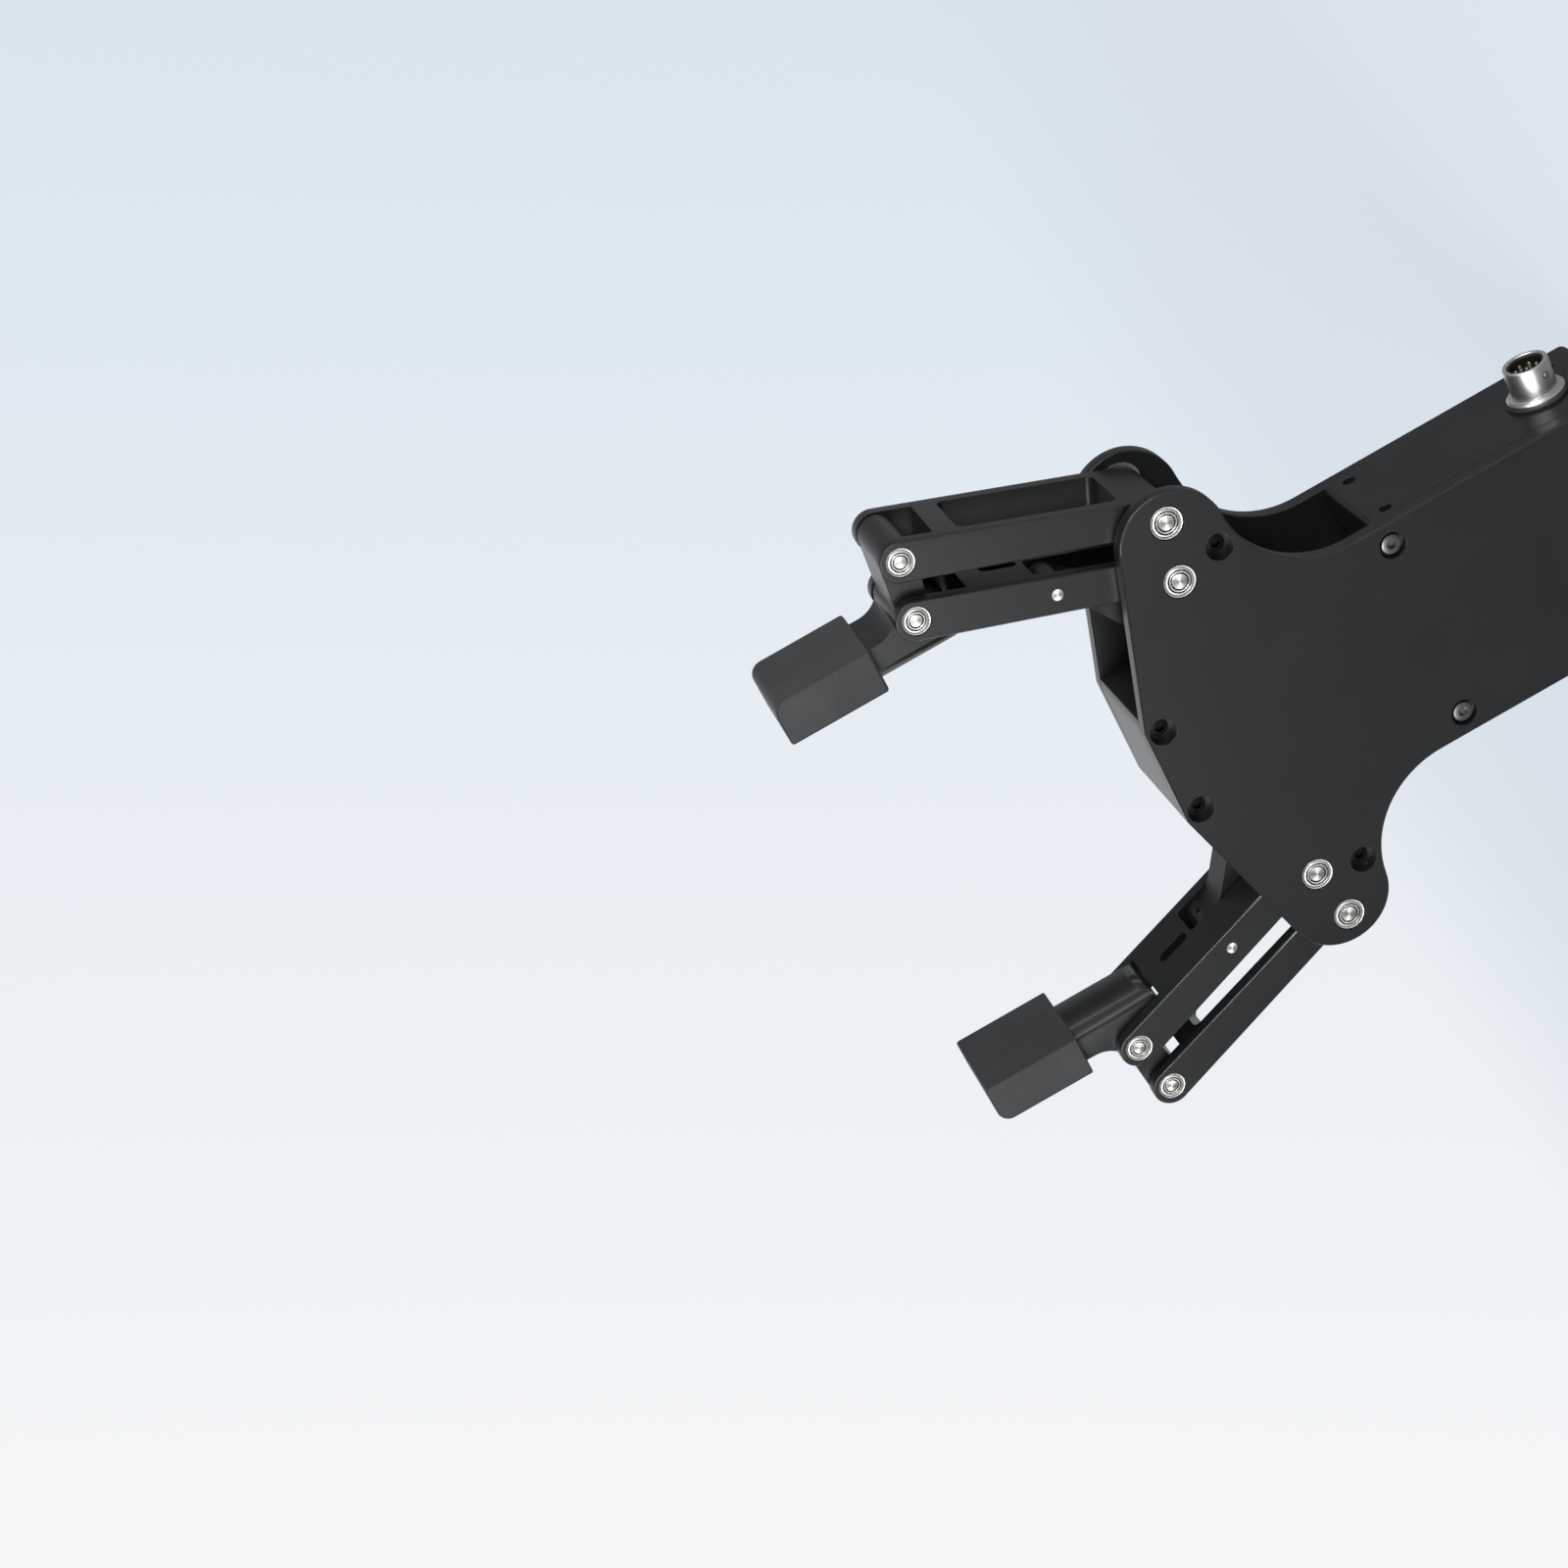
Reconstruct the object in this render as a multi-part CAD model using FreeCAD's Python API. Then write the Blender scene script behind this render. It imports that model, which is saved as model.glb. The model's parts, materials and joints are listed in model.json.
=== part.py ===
import FreeCAD, Part
import math
import os

# Electric two finger parallel gripper, modelled fully open, in millimetres.
# +Z runs from the base to the fingertips, -Y is the front cover plate and the
# electrical connector stands out of the +X wall. The origin is the centre of
# the base. Each arm is a parallelogram of an outer and an inner link, so the
# fingers stay parallel. A crosshead on a lead screw swings both inner links
# through two cranked rods. The left arm is the right one turned half round.

# Body pivots and arms
PIVOT_HEIGHT = 73.5          # outer body pivots above the base
OUTER_PIVOT_X = 38.0
PIVOT_STEP_X = 9.5           # inner pivot inboard of the outer one, body and finger alike
PIVOT_STEP_Z = 1.9           # and above it
LINK_LENGTH = 40.0
OPEN_ANGLE = 20.8            # links lean out from +Z by this much when fully open

# Cover plates
BODY_WIDTH = 39.5
BODY_DEPTH = 23.5
PLATE_THICKNESS = 2.75
TOP_HEIGHT = 90.2
TOP_FLAT_WIDTH = 17.4
EAR_RADIUS = 8.6
EAR_INSET = 3.8              # ear centre inboard of the outer pivot
EAR_RISE = 0.4
FLARE_RADIUS = 16.0
BASE_CORNER_RADIUS = 1.5
PLATE_CHAMFER = 0.3
PLATE_INNER_CHAMFER = 0.2

# Plate screws, as distance from the centre line and height above the base
TOP_SCREW_DROP = 2.7         # below the top edge
TOP_SCREW = (7.6, TOP_HEIGHT - TOP_SCREW_DROP)
EAR_SCREW = (30.3, 67.8)
MID_SCREW_HEIGHT = 43.8
LOW_SCREW_HEIGHT = 3.1
FRONT_SCREW_X = 16.0
BACK_SCREW_X = 17.1
FRONT_MID_SCREW = (FRONT_SCREW_X, MID_SCREW_HEIGHT)
BACK_MID_SCREW = (BACK_SCREW_X, MID_SCREW_HEIGHT)
FRONT_LOW_SCREW = (FRONT_SCREW_X, LOW_SCREW_HEIGHT)
BACK_LOW_SCREW = (BACK_SCREW_X, LOW_SCREW_HEIGHT)
SCREW_RADIUS = 1.0
SCREW_LENGTH = 5.2           # below the head
HEAD_RADIUS = 1.75
HEAD_HEIGHT = 1.2
HEAD_ROUND = 0.35
SOCKET_RADIUS = 0.8          # across the corners of the hexagon
SOCKET_DEPTH = 0.7
COUNTERBORE_RADIUS = 2.2
DEEP_COUNTERBORE = 2.0
SHALLOW_COUNTERBORE = 1.45

# Bearings and shafts
BODY_BEARING_RADIUS = 2.7
BODY_SHAFT_RADIUS = 1.25
FINGER_BEARING_RADIUS = 2.3
FINGER_PIN_RADIUS = 1.0
BEARING_RACE = 0.75          # radial width of the outer ring
BEARING_GROOVE = 0.4         # radial width of the shield groove
GROOVE_DEPTH = 0.25
BEARING_RECESS = 0.1
BEARING_FLANGE = 0.5         # the body bearings' flange, radial
BEARING_FLANGE_THICKNESS = 0.3
SHAFT_CHAMFER = 0.25
FIXED_CLEARANCE = 0.02       # radial, between pieces that stay together
RUNNING_CLEARANCE = 0.04     # radial, between pieces that turn on each other

# Links
LINK_SIDE_GAP = 0.6          # between a link and the inside of a cover plate
LINK_BODY_RADIUS = 2.8
LINK_FINGER_RADIUS = 3.2
BAR_THICKNESS = 2.25
LINK_CHAMFER = 0.2
WINDOW_CORNER = 1.2
OUTER_WINDOW_START = 5.5
OUTER_WINDOW_MARGIN = 9.6    # from the window to the finger pivot
OUTER_RIB_MARGIN = 5.8       # from the rib past the window to the finger pivot
INNER_POCKET_START = 5.0
INNER_POCKET_END = 20.9
POCKET_CORNER = 0.8
INNER_WEB_MARGIN = 8.6       # from the web to the finger pivot
WEB_SLOT_LENGTH = 6.0
WEB_SLOT_WIDTH = 2.2
WEB_SLOT_START = 21.8
DRIVE_PIN_DISTANCE = 18.0    # from the inner body pivot
DRIVE_PIN_RADIUS = 1.0
DRIVE_PIN_RECESS = 0.1

# Fingers, measured inboard of and above the outer finger pivot
FINGER_SIDE_GAP = 0.3
KNUCKLE_RADIUS = 3.0
FINGER_INNER_FACE = 16.8
FINGER_BOTTOM = -4.8
FINGER_TOE = 12.4
TOE_RADIUS = 2.4
UNDERSIDE = (8.6, -1.2)
NECK_OUTER = 10.9
NECK_FOOT_HEIGHT = 4.1
NECK_FILLET = 5.0
FINGER_CHAMFER = 2.1
CORE_INNER_FACE = 15.6
CORE_TOP = 25.3
PAD_OUTER_FACE = 10.0
PAD_GRIP_FACE = 17.2
PAD_BOTTOM = 10.2
PAD_TOP = 26.9
PAD_DEPTH = 17.4
PAD_TIP_RADIUS = 2.2
PAD_EDGE_RADIUS = 0.5
PAD_FIT = 0.03

# Crosshead drive
CROSSHEAD_PIN_X = 6.5
ROD_LENGTH = 35.0
ROD_KNEE_DISTANCE = 4.6      # from the drive pin towards the link's body pivot
ROD_KNEE_OFFSET = 1.0        # inboard of the link's axis
ROD_KNEE_RADIUS = 7.0
ROD_HALF_WIDTH = 1.8
ROD_OVERHANG = 0.3           # of the rod past the middle plane of the gripper
ROD_SIDE_GAP = 0.3
ROD_UPPER_EYE = 2.5
ROD_LOWER_EYE = 3.3
ROD_PIN_SLACK = 1.0          # lower eye, where the linkage is opened
OIL_HOLE_RADIUS = 0.5
CROSSHEAD_PIN_RADIUS = 1.0
LUG_GAP = 0.35
LUG_REACH = 3.6
LUG_INNER_X = 3.4
NEAR_LUG_THICKNESS = 1.8
CROSSHEAD_HALF_WIDTH = 10.2
CROSSHEAD_SIDE_GAP = 0.8     # to the inside of a cover plate
CROSSHEAD_BASE_TOP = 4.9     # below the crosshead pins
CROSSHEAD_BASE_HEIGHT = 5.0
CROSSHEAD_CORNER = 1.5
NUT_RADIUS = 3.4
NUT_FLANGE_RADIUS = 4.4
NUT_FLANGE_THICKNESS = 1.0
SCREW_THREAD_RADIUS = 2.0
SCREW_JOURNAL_RADIUS = 1.25
GUIDE_RADIUS = 1.0
GUIDE_EDGE = 1.6             # from a guide rod's axis to the crosshead's side
GUIDE_SEAT = 2.0

# Middle housing and drive unit
WALL_THICKNESS = 3.5
WALL_END_MARGIN = 1.5        # from the middle screws' axes to the walls' ends
WALL_TOP = MID_SCREW_HEIGHT + WALL_END_MARGIN
WALL_END_RADIUS = 1.0
FLOOR_THICKNESS = 5.0
BOSS_RADIUS = 2.7
SIDE_HOLE_RADIUS = 1.05
SIDE_HOLE_EDGE = 2.0         # from a hole's axis to the cover plate beside it
SIDE_HOLE_LOW = 5.6
SIDE_HOLE_HIGH = 41.4
BASE_HOLE_RADIUS = 1.25
BASE_HOLE_SPACING_X = 24.0
BASE_HOLE_SPACING_Y = 10.0
BASE_HOLE_DEPTH = 4.2
MOUNT_BOTTOM = 38.0
MOUNT_THICKNESS = 6.0
MOUNT_FIT = 0.05
SCREW_BEARING_RADIUS = 3.5
SCREW_BEARING_THICKNESS = 3.0
MOTOR_RADIUS = 8.0
MOTOR_LENGTH = 21.0
GEARHEAD_LENGTH = 11.0
GEARHEAD_BORE_DEPTH = 6.0
MOTOR_CAP_RADIUS = 3.0
MOTOR_CAP_LENGTH = 1.0
BOARD_STANDOFF = 3.45        # from the wall behind it
BOARD_THICKNESS = 1.6
BOARD_SIDE_GAP = 0.8         # to the inside of a cover plate
PROCESSOR = (-2.5, 14.0, 7.0, 7.0, 1.0)     # y, z, width, height and rise off the board
LOWER_DRIVER = (4.5, 22.0, 4.0, 5.0, 0.9)
UPPER_DRIVER = (-4.0, 24.5, 4.0, 5.0, 0.9)
TERMINAL = (0.0, 32.0, 9.0, 3.5, 2.4)
LOWER_CAPACITOR = (5.2, 9.5)
UPPER_CAPACITOR = (5.2, 14.5)
CAPACITOR_RADIUS = 1.9
CAPACITOR_RISE = 2.6
TOP_BLOCK_HALF_WIDTH = 10.0
TOP_BLOCK_HEIGHT = 5.6
SPACER_WIDTH = 7.0
SPACER_HEIGHT = 5.0
SPACER_CORNER = 2.0

# Connector on the +X wall
CONNECTOR_HEIGHT = 11.0
SEAL_RADIUS = 5.0
SEAL_THICKNESS = 0.4
FLANGE_RADIUS = 4.65
FLANGE_THICKNESS = 0.9
FLANGE_CHAMFER = 0.3
BARREL_RADIUS = 3.45
BARREL_LENGTH = 5.0
LIP_RADIUS = 3.65
LIP_LENGTH = 0.8
LIP_CHAMFER = 0.15
BARREL_BORE = 2.8
THREAD_RADIUS = 3.2
TAIL_LENGTH = 6.6
INSERT_RECESS = 1.6
INSERT_FIT = 0.03
CONTACT_RADIUS = 0.28
CONTACT_CIRCLE = 1.75
CONTACT_COUNT = 7
CONTACT_STANDOUT = 0.9
NUT_ACROSS = 10.0
NUT_THICKNESS = 1.8

# Derived places
INNER_FACE = BODY_DEPTH / 2 - PLATE_THICKNESS
LINK_HALF = INNER_FACE - LINK_SIDE_GAP
BAR_INNER = LINK_HALF - BAR_THICKNESS
FINGER_HALF = BAR_INNER - FINGER_SIDE_GAP
OUTER_WINDOW_END = LINK_LENGTH - OUTER_WINDOW_MARGIN
OUTER_RIB_END = LINK_LENGTH - OUTER_RIB_MARGIN
INNER_WEB_END = LINK_LENGTH - INNER_WEB_MARGIN
CROSSHEAD_HALF_DEPTH = INNER_FACE - CROSSHEAD_SIDE_GAP
GUIDE_OFFSET = CROSSHEAD_HALF_DEPTH - GUIDE_EDGE
BOARD_HALF_DEPTH = INNER_FACE - BOARD_SIDE_GAP
SIDE_HOLE_SPACING_Y = 2 * (INNER_FACE - SIDE_HOLE_EDGE)
OUTER_PIVOT = (OUTER_PIVOT_X, PIVOT_HEIGHT)
INNER_PIVOT = (OUTER_PIVOT_X - PIVOT_STEP_X, PIVOT_HEIGHT + PIVOT_STEP_Z)
ARM_DIR = (math.sin(math.radians(OPEN_ANGLE)), math.cos(math.radians(OPEN_ANGLE)))
OUTER_FINGER_PIVOT = (OUTER_PIVOT[0] + LINK_LENGTH * ARM_DIR[0],
                      OUTER_PIVOT[1] + LINK_LENGTH * ARM_DIR[1])
INNER_FINGER_PIVOT = (OUTER_FINGER_PIVOT[0] - PIVOT_STEP_X,
                      OUTER_FINGER_PIVOT[1] + PIVOT_STEP_Z)
DRIVE_PIN = (INNER_PIVOT[0] + DRIVE_PIN_DISTANCE * ARM_DIR[0],
             INNER_PIVOT[1] + DRIVE_PIN_DISTANCE * ARM_DIR[1])
CROSSHEAD_PIN = (CROSSHEAD_PIN_X,
                 DRIVE_PIN[1] - math.sqrt(ROD_LENGTH ** 2 - (DRIVE_PIN[0] - CROSSHEAD_PIN_X) ** 2))
CROSSHEAD_TOP = CROSSHEAD_PIN[1] - CROSSHEAD_BASE_TOP
ROD_FAR = ROD_SIDE_GAP - BAR_INNER
NEAR_LUG = (ROD_OVERHANG + LUG_GAP, ROD_OVERHANG + LUG_GAP + NEAR_LUG_THICKNESS)
TOP_BLOCK_BOTTOM = TOP_HEIGHT - TOP_BLOCK_HEIGHT
MOUNT_TOP = MOUNT_BOTTOM + MOUNT_THICKNESS
WALL_X = BODY_WIDTH / 2
WALL_INNER_X = WALL_X - WALL_THICKNESS
BOARD_X = BOARD_STANDOFF - WALL_INNER_X


def vec(x, y, z):
    """Return a FreeCAD vector."""
    return FreeCAD.Vector(x, y, z)


def flat(point):
    """Place an (x, z) pair in the plane y = 0."""
    return vec(point[0], 0, point[1])


def line(a, b):
    """Straight edge between two (x, z) points."""
    return Part.LineSegment(flat(a), flat(b)).toShape()


def arc(a, middle, b):
    """Circular edge through three (x, z) points."""
    return Part.Arc(flat(a), flat(middle), flat(b)).toShape()


def arc_about(centre, radius, start_deg, end_deg):
    """Circular edge about an (x, z) centre, from one angle to another."""
    pts = []
    for part in (0.0, 0.5, 1.0):
        turn = math.radians(start_deg + part * (end_deg - start_deg))
        pts.append((centre[0] + radius * math.cos(turn), centre[1] + radius * math.sin(turn)))
    return arc(*pts)


def slab(edges, y_low, y_high):
    """Solid with an outline in the XZ plane, from one y to another."""
    face = Part.Face(Part.Wire(Part.__sortEdges__(edges)))
    face.translate(vec(0, y_low, 0))
    return face.extrude(vec(0, y_high - y_low, 0))


def rounded(corners):
    """Edges of a polygon of (x, z, radius) corners, each rounded by its radius."""
    edges = []
    entries, exits = [], []
    count = len(corners)
    for i, (x, z, radius) in enumerate(corners):
        before, after = corners[i - 1], corners[(i + 1) % count]
        if not radius:
            entries.append((x, z))
            exits.append((x, z))
            continue
        back = (before[0] - x, before[1] - z)
        ahead = (after[0] - x, after[1] - z)
        back_len, ahead_len = math.hypot(*back), math.hypot(*ahead)
        back = (back[0] / back_len, back[1] / back_len)
        ahead = (ahead[0] / ahead_len, ahead[1] / ahead_len)
        half = math.acos(back[0] * ahead[0] + back[1] * ahead[1]) / 2
        reach = radius / math.tan(half)
        entry = (x + back[0] * reach, z + back[1] * reach)
        leave = (x + ahead[0] * reach, z + ahead[1] * reach)
        mid = (back[0] + ahead[0], back[1] + ahead[1])
        mid_len = math.hypot(*mid)
        depth = radius / math.sin(half) - radius
        top = (x + mid[0] / mid_len * depth, z + mid[1] / mid_len * depth)
        edges.append(arc(entry, top, leave))
        entries.append(entry)
        exits.append(leave)
    for i in range(count):
        a, b = exits[i], entries[(i + 1) % count]
        if math.dist(a, b) > 1e-6:
            edges.append(line(a, b))
    return edges


def rod_y(centre, radius, y_low, y_high):
    """Cylinder along Y about an (x, z) centre."""
    return Part.makeCylinder(radius, y_high - y_low, vec(centre[0], y_low, centre[1]), vec(0, 1, 0))


def rod_z(x, y, radius, z_low, z_high):
    """Cylinder along Z."""
    return Part.makeCylinder(radius, z_high - z_low, vec(x, y, z_low))


def rod_x(x_low, x_high, y, z, radius):
    """Cylinder along X."""
    return Part.makeCylinder(radius, x_high - x_low, vec(x_low, y, z), vec(1, 0, 0))


def block(x_low, x_high, y_low, y_high, z_low, z_high):
    """Box between two corners."""
    return Part.makeBox(x_high - x_low, y_high - y_low, z_high - z_low, vec(x_low, y_low, z_low))


def both_sides(places):
    """Each (x, z) place and its mirror image in the plane x = 0."""
    return [(side * x, z) for x, z in places for side in (1, -1)]


def turned(shape):
    """The same piece on the other arm, half a turn about +Z away."""
    return shape.rotated(vec(0, 0, 0), vec(0, 0, 1), 180)


def chamfer_where(shape, size, wanted):
    """Chamfer the edges that the test picks."""
    edges = [edge for edge in shape.Edges if wanted(edge)]
    return shape.makeChamfer(size, edges)


def tapered_bar(start, start_radius, end, end_radius, y_low, y_high):
    """Bar with round ends of two radii and straight tangent sides."""
    run = (end[0] - start[0], end[1] - start[1])
    length = math.hypot(*run)
    heading = math.atan2(run[1], run[0])
    lean = math.acos((start_radius - end_radius) / length)
    corners = []
    for centre, radius, turn in ((start, start_radius, lean), (end, end_radius, lean),
                                 (end, end_radius, -lean), (start, start_radius, -lean)):
        corners.append((centre[0] + radius * math.cos(heading + turn),
                        centre[1] + radius * math.sin(heading + turn)))
    tip = (end[0] + end_radius * math.cos(heading), end[1] + end_radius * math.sin(heading))
    tail = (start[0] - start_radius * math.cos(heading), start[1] - start_radius * math.sin(heading))
    edges = [line(corners[0], corners[1]), arc(corners[1], tip, corners[2]),
             line(corners[2], corners[3]), arc(corners[3], tail, corners[0])]
    return slab(edges, y_low, y_high)


def plate_outline():
    """Closed outline of a cover plate: base, flares, ears and sloped shoulders."""
    ear = (OUTER_PIVOT_X - EAR_INSET, PIVOT_HEIGHT + EAR_RISE)
    flare_x = WALL_X + FLARE_RADIUS
    reach = FLARE_RADIUS + EAR_RADIUS
    flare = (flare_x, ear[1] - math.sqrt(reach ** 2 - (flare_x - ear[0]) ** 2))
    meet_deg = math.degrees(math.atan2(ear[1] - flare[1], ear[0] - flare[0]))
    top = (TOP_FLAT_WIDTH / 2, TOP_HEIGHT)
    run = math.dist(ear, top)
    slope = math.atan2(ear[1] - top[1], ear[0] - top[0]) + math.asin(EAR_RADIUS / run)
    tangent = math.sqrt(run ** 2 - EAR_RADIUS ** 2)
    shoulder = (top[0] + tangent * math.cos(slope), top[1] + tangent * math.sin(slope))
    shoulder_deg = math.degrees(slope) + 90
    meet = (flare[0] + FLARE_RADIUS * math.cos(math.radians(meet_deg)),
            flare[1] + FLARE_RADIUS * math.sin(math.radians(meet_deg)))
    corner = BASE_CORNER_RADIUS
    half = [
        arc_about((WALL_X - corner, corner), corner, -90, 0),
        line((WALL_X, corner), (WALL_X, flare[1])),
        arc_about(flare, FLARE_RADIUS, 180, meet_deg),
        arc_about(ear, EAR_RADIUS, meet_deg - 180, shoulder_deg),
        line(shoulder, top),
    ]
    assert math.dist(meet, ear) < reach
    other = [edge.mirror(vec(0, 0, 0), vec(1, 0, 0)) for edge in half]
    ends = [line((-(WALL_X - corner), 0), (WALL_X - corner, 0)), line((-top[0], top[1]), top)]
    return half + other + ends


def plate(side, screws):
    """Cover plate on one face, side -1 for the front and 1 for the back."""
    outer, inner = side * BODY_DEPTH / 2, side * INNER_FACE
    shape = slab(plate_outline(), min(outer, inner), max(outer, inner))
    for face_y, size in ((outer, PLATE_CHAMFER), (inner, PLATE_INNER_CHAMFER)):
        shape = chamfer_where(shape, size,
                              lambda edge: all(abs(v.Point.y - face_y) < 1e-6 for v in edge.Vertexes))
    cuts = []
    for place, depth in screws:
        for spot in both_sides([place]):
            floor = outer - side * depth
            cuts.append(rod_y(spot, COUNTERBORE_RADIUS, min(floor, outer), max(floor, outer)))
            cuts.append(rod_y(spot, SCREW_RADIUS + RUNNING_CLEARANCE,
                              min(outer, inner), max(outer, inner)))
    for spot in both_sides([OUTER_PIVOT, INNER_PIVOT]):
        cuts.append(rod_y(spot, BODY_BEARING_RADIUS + FIXED_CLEARANCE,
                          min(outer, inner), max(outer, inner)))
    return shape.cut(cuts)


def cap_screw(place, side, depth):
    """Socket screw with its head at the bottom of a counterbore."""
    seat = side * (BODY_DEPTH / 2 - depth)
    crown = seat + side * HEAD_HEIGHT
    head = rod_y(place, HEAD_RADIUS, min(seat, crown), max(seat, crown))
    head = head.makeFillet(HEAD_ROUND, [e for e in head.Edges
                                        if all(abs(v.Point.y - crown) < 1e-6 for v in e.Vertexes)])
    tip = seat - side * SCREW_LENGTH
    shank = rod_y(place, SCREW_RADIUS, min(seat, tip), max(seat, tip))
    hexagon = []
    for i in range(6):
        a, b = math.radians(60 * i), math.radians(60 * (i + 1))
        hexagon.append(line((place[0] + SOCKET_RADIUS * math.cos(a), place[1] + SOCKET_RADIUS * math.sin(a)),
                            (place[0] + SOCKET_RADIUS * math.cos(b), place[1] + SOCKET_RADIUS * math.sin(b))))
    floor = crown - side * SOCKET_DEPTH
    return head.fuse(shank).cut(slab(hexagon, min(floor, crown), max(floor, crown))).removeSplitter()


def tapped_hole(place, side, seat_depth):
    """Hole behind a cover plate that takes the thread of its screw."""
    face = side * INNER_FACE
    tip = side * (BODY_DEPTH / 2 - seat_depth - SCREW_LENGTH - 0.3)
    return rod_y(place, SCREW_RADIUS + FIXED_CLEARANCE, min(face, tip), max(face, tip))


def bearing(centre, radius, bore, side, face, length, flange):
    """Small ball bearing: outer ring, sunk shield and inner ring in one piece."""
    crown = side * face
    back = side * (face - length)
    ring = rod_y(centre, radius, min(crown, back), max(crown, back))
    if flange:
        rim = back - side * BEARING_FLANGE_THICKNESS
        ring = ring.fuse(rod_y(centre, radius + BEARING_FLANGE, min(rim, back), max(rim, back)))
        back = rim
    groove_outer = radius - BEARING_RACE
    floor = crown - side * GROOVE_DEPTH
    groove = rod_y(centre, groove_outer, min(floor, crown), max(floor, crown)).cut(
        rod_y(centre, groove_outer - BEARING_GROOVE, min(floor, crown), max(floor, crown)))
    hole = rod_y(centre, bore + RUNNING_CLEARANCE, min(crown, back), max(crown, back))
    return ring.cut([groove, hole])


def shaft(centre, radius, half_length):
    """Pin or shaft across the arms, chamfered at both ends."""
    shape = rod_y(centre, radius, -half_length, half_length)
    return shape.makeChamfer(SHAFT_CHAMFER, [e for e in shape.Edges if len(e.Vertexes) == 1])


def unit(a, b):
    """Direction from one (x, z) point to another."""
    run = math.dist(a, b)
    return ((b[0] - a[0]) / run, (b[1] - a[1]) / run)


def along(pivot, distance, lateral=0.0):
    """(x, z) point on a link of the right arm, from its body pivot outward."""
    return (pivot[0] + distance * ARM_DIR[0] + lateral * ARM_DIR[1],
            pivot[1] + distance * ARM_DIR[1] - lateral * ARM_DIR[0])


def link_box(pivot, start, end, lat_low, lat_high, y_low, y_high):
    """Box in a link's own directions: along it, across it and in Y."""
    corners = [along(pivot, start, lat_low), along(pivot, end, lat_low),
               along(pivot, end, lat_high), along(pivot, start, lat_high)]
    return slab([line(corners[i], corners[(i + 1) % 4]) for i in range(4)], y_low, y_high)


def link_window(pivot, start, end, y_low, y_high, corner):
    """Opening through a link from its outer to its inner side, with round corners."""
    window = link_box(pivot, start, end, -2 * LINK_FINGER_RADIUS, 2 * LINK_FINGER_RADIUS,
                      y_low, y_high)
    across = vec(ARM_DIR[1], 0, -ARM_DIR[0])
    edges = [e for e in window.Edges if e.tangentAt(e.FirstParameter).cross(across).Length < 1e-6]
    return window.makeFillet(corner, edges)


def link_blank(pivot):
    """Solid blank of one link, chamfered along both bars' outer faces."""
    blank = tapered_bar(pivot, LINK_BODY_RADIUS, along(pivot, LINK_LENGTH), LINK_FINGER_RADIUS,
                        -LINK_HALF, LINK_HALF)
    return chamfer_where(blank, LINK_CHAMFER,
                         lambda e: len({round(v.Point.y, 6) for v in e.Vertexes}) == 1)


def link_holes(pivot):
    """Shaft hole at the body end and bearing seats at the finger end."""
    return [rod_y(pivot, BODY_SHAFT_RADIUS + FIXED_CLEARANCE, -LINK_HALF, LINK_HALF),
            rod_y(along(pivot, LINK_LENGTH), FINGER_BEARING_RADIUS + FIXED_CLEARANCE,
                  -LINK_HALF, LINK_HALF)]


def fork_gap(pivot, start):
    """Gap between the bars from a given distance to past the finger pivot."""
    end = LINK_LENGTH + 2 * LINK_FINGER_RADIUS
    return link_box(pivot, start, end, -2 * LINK_FINGER_RADIUS, 2 * LINK_FINGER_RADIUS,
                    -BAR_INNER, BAR_INNER)


def outer_link():
    """Outer link: a ladder frame with a long window, a rib and a fork."""
    window = link_window(OUTER_PIVOT, OUTER_WINDOW_START, OUTER_WINDOW_END,
                         -BAR_INNER, BAR_INNER, WINDOW_CORNER)
    return link_blank(OUTER_PIVOT).cut([window, fork_gap(OUTER_PIVOT, OUTER_RIB_END)]
                                       + link_holes(OUTER_PIVOT))


def inner_link():
    """Inner link: solid, with a pocket for the rod in one half, a slot and a fork."""
    pocket = link_window(INNER_PIVOT, INNER_POCKET_START, INNER_POCKET_END,
                         -BAR_INNER, ROD_OVERHANG + ROD_SIDE_GAP, POCKET_CORNER)
    slot = link_window(INNER_PIVOT, WEB_SLOT_START, WEB_SLOT_START + WEB_SLOT_LENGTH,
                       -WEB_SLOT_WIDTH / 2, WEB_SLOT_WIDTH / 2, WEB_SLOT_WIDTH / 2 - 0.01)
    cuts = [pocket, slot, fork_gap(INNER_PIVOT, INNER_WEB_END)] + link_holes(INNER_PIVOT)
    cuts.append(rod_y(DRIVE_PIN, DRIVE_PIN_RADIUS + FIXED_CLEARANCE, -LINK_HALF, LINK_HALF))
    return link_blank(INNER_PIVOT).cut(cuts)


def finger_point(inboard, up, radius=None):
    """Corner of the right finger from distances inboard of and above its outer pivot."""
    x, z = OUTER_FINGER_PIVOT[0] - inboard, OUTER_FINGER_PIVOT[1] + up
    return (x, z) if radius is None else (x, z, radius)


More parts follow.
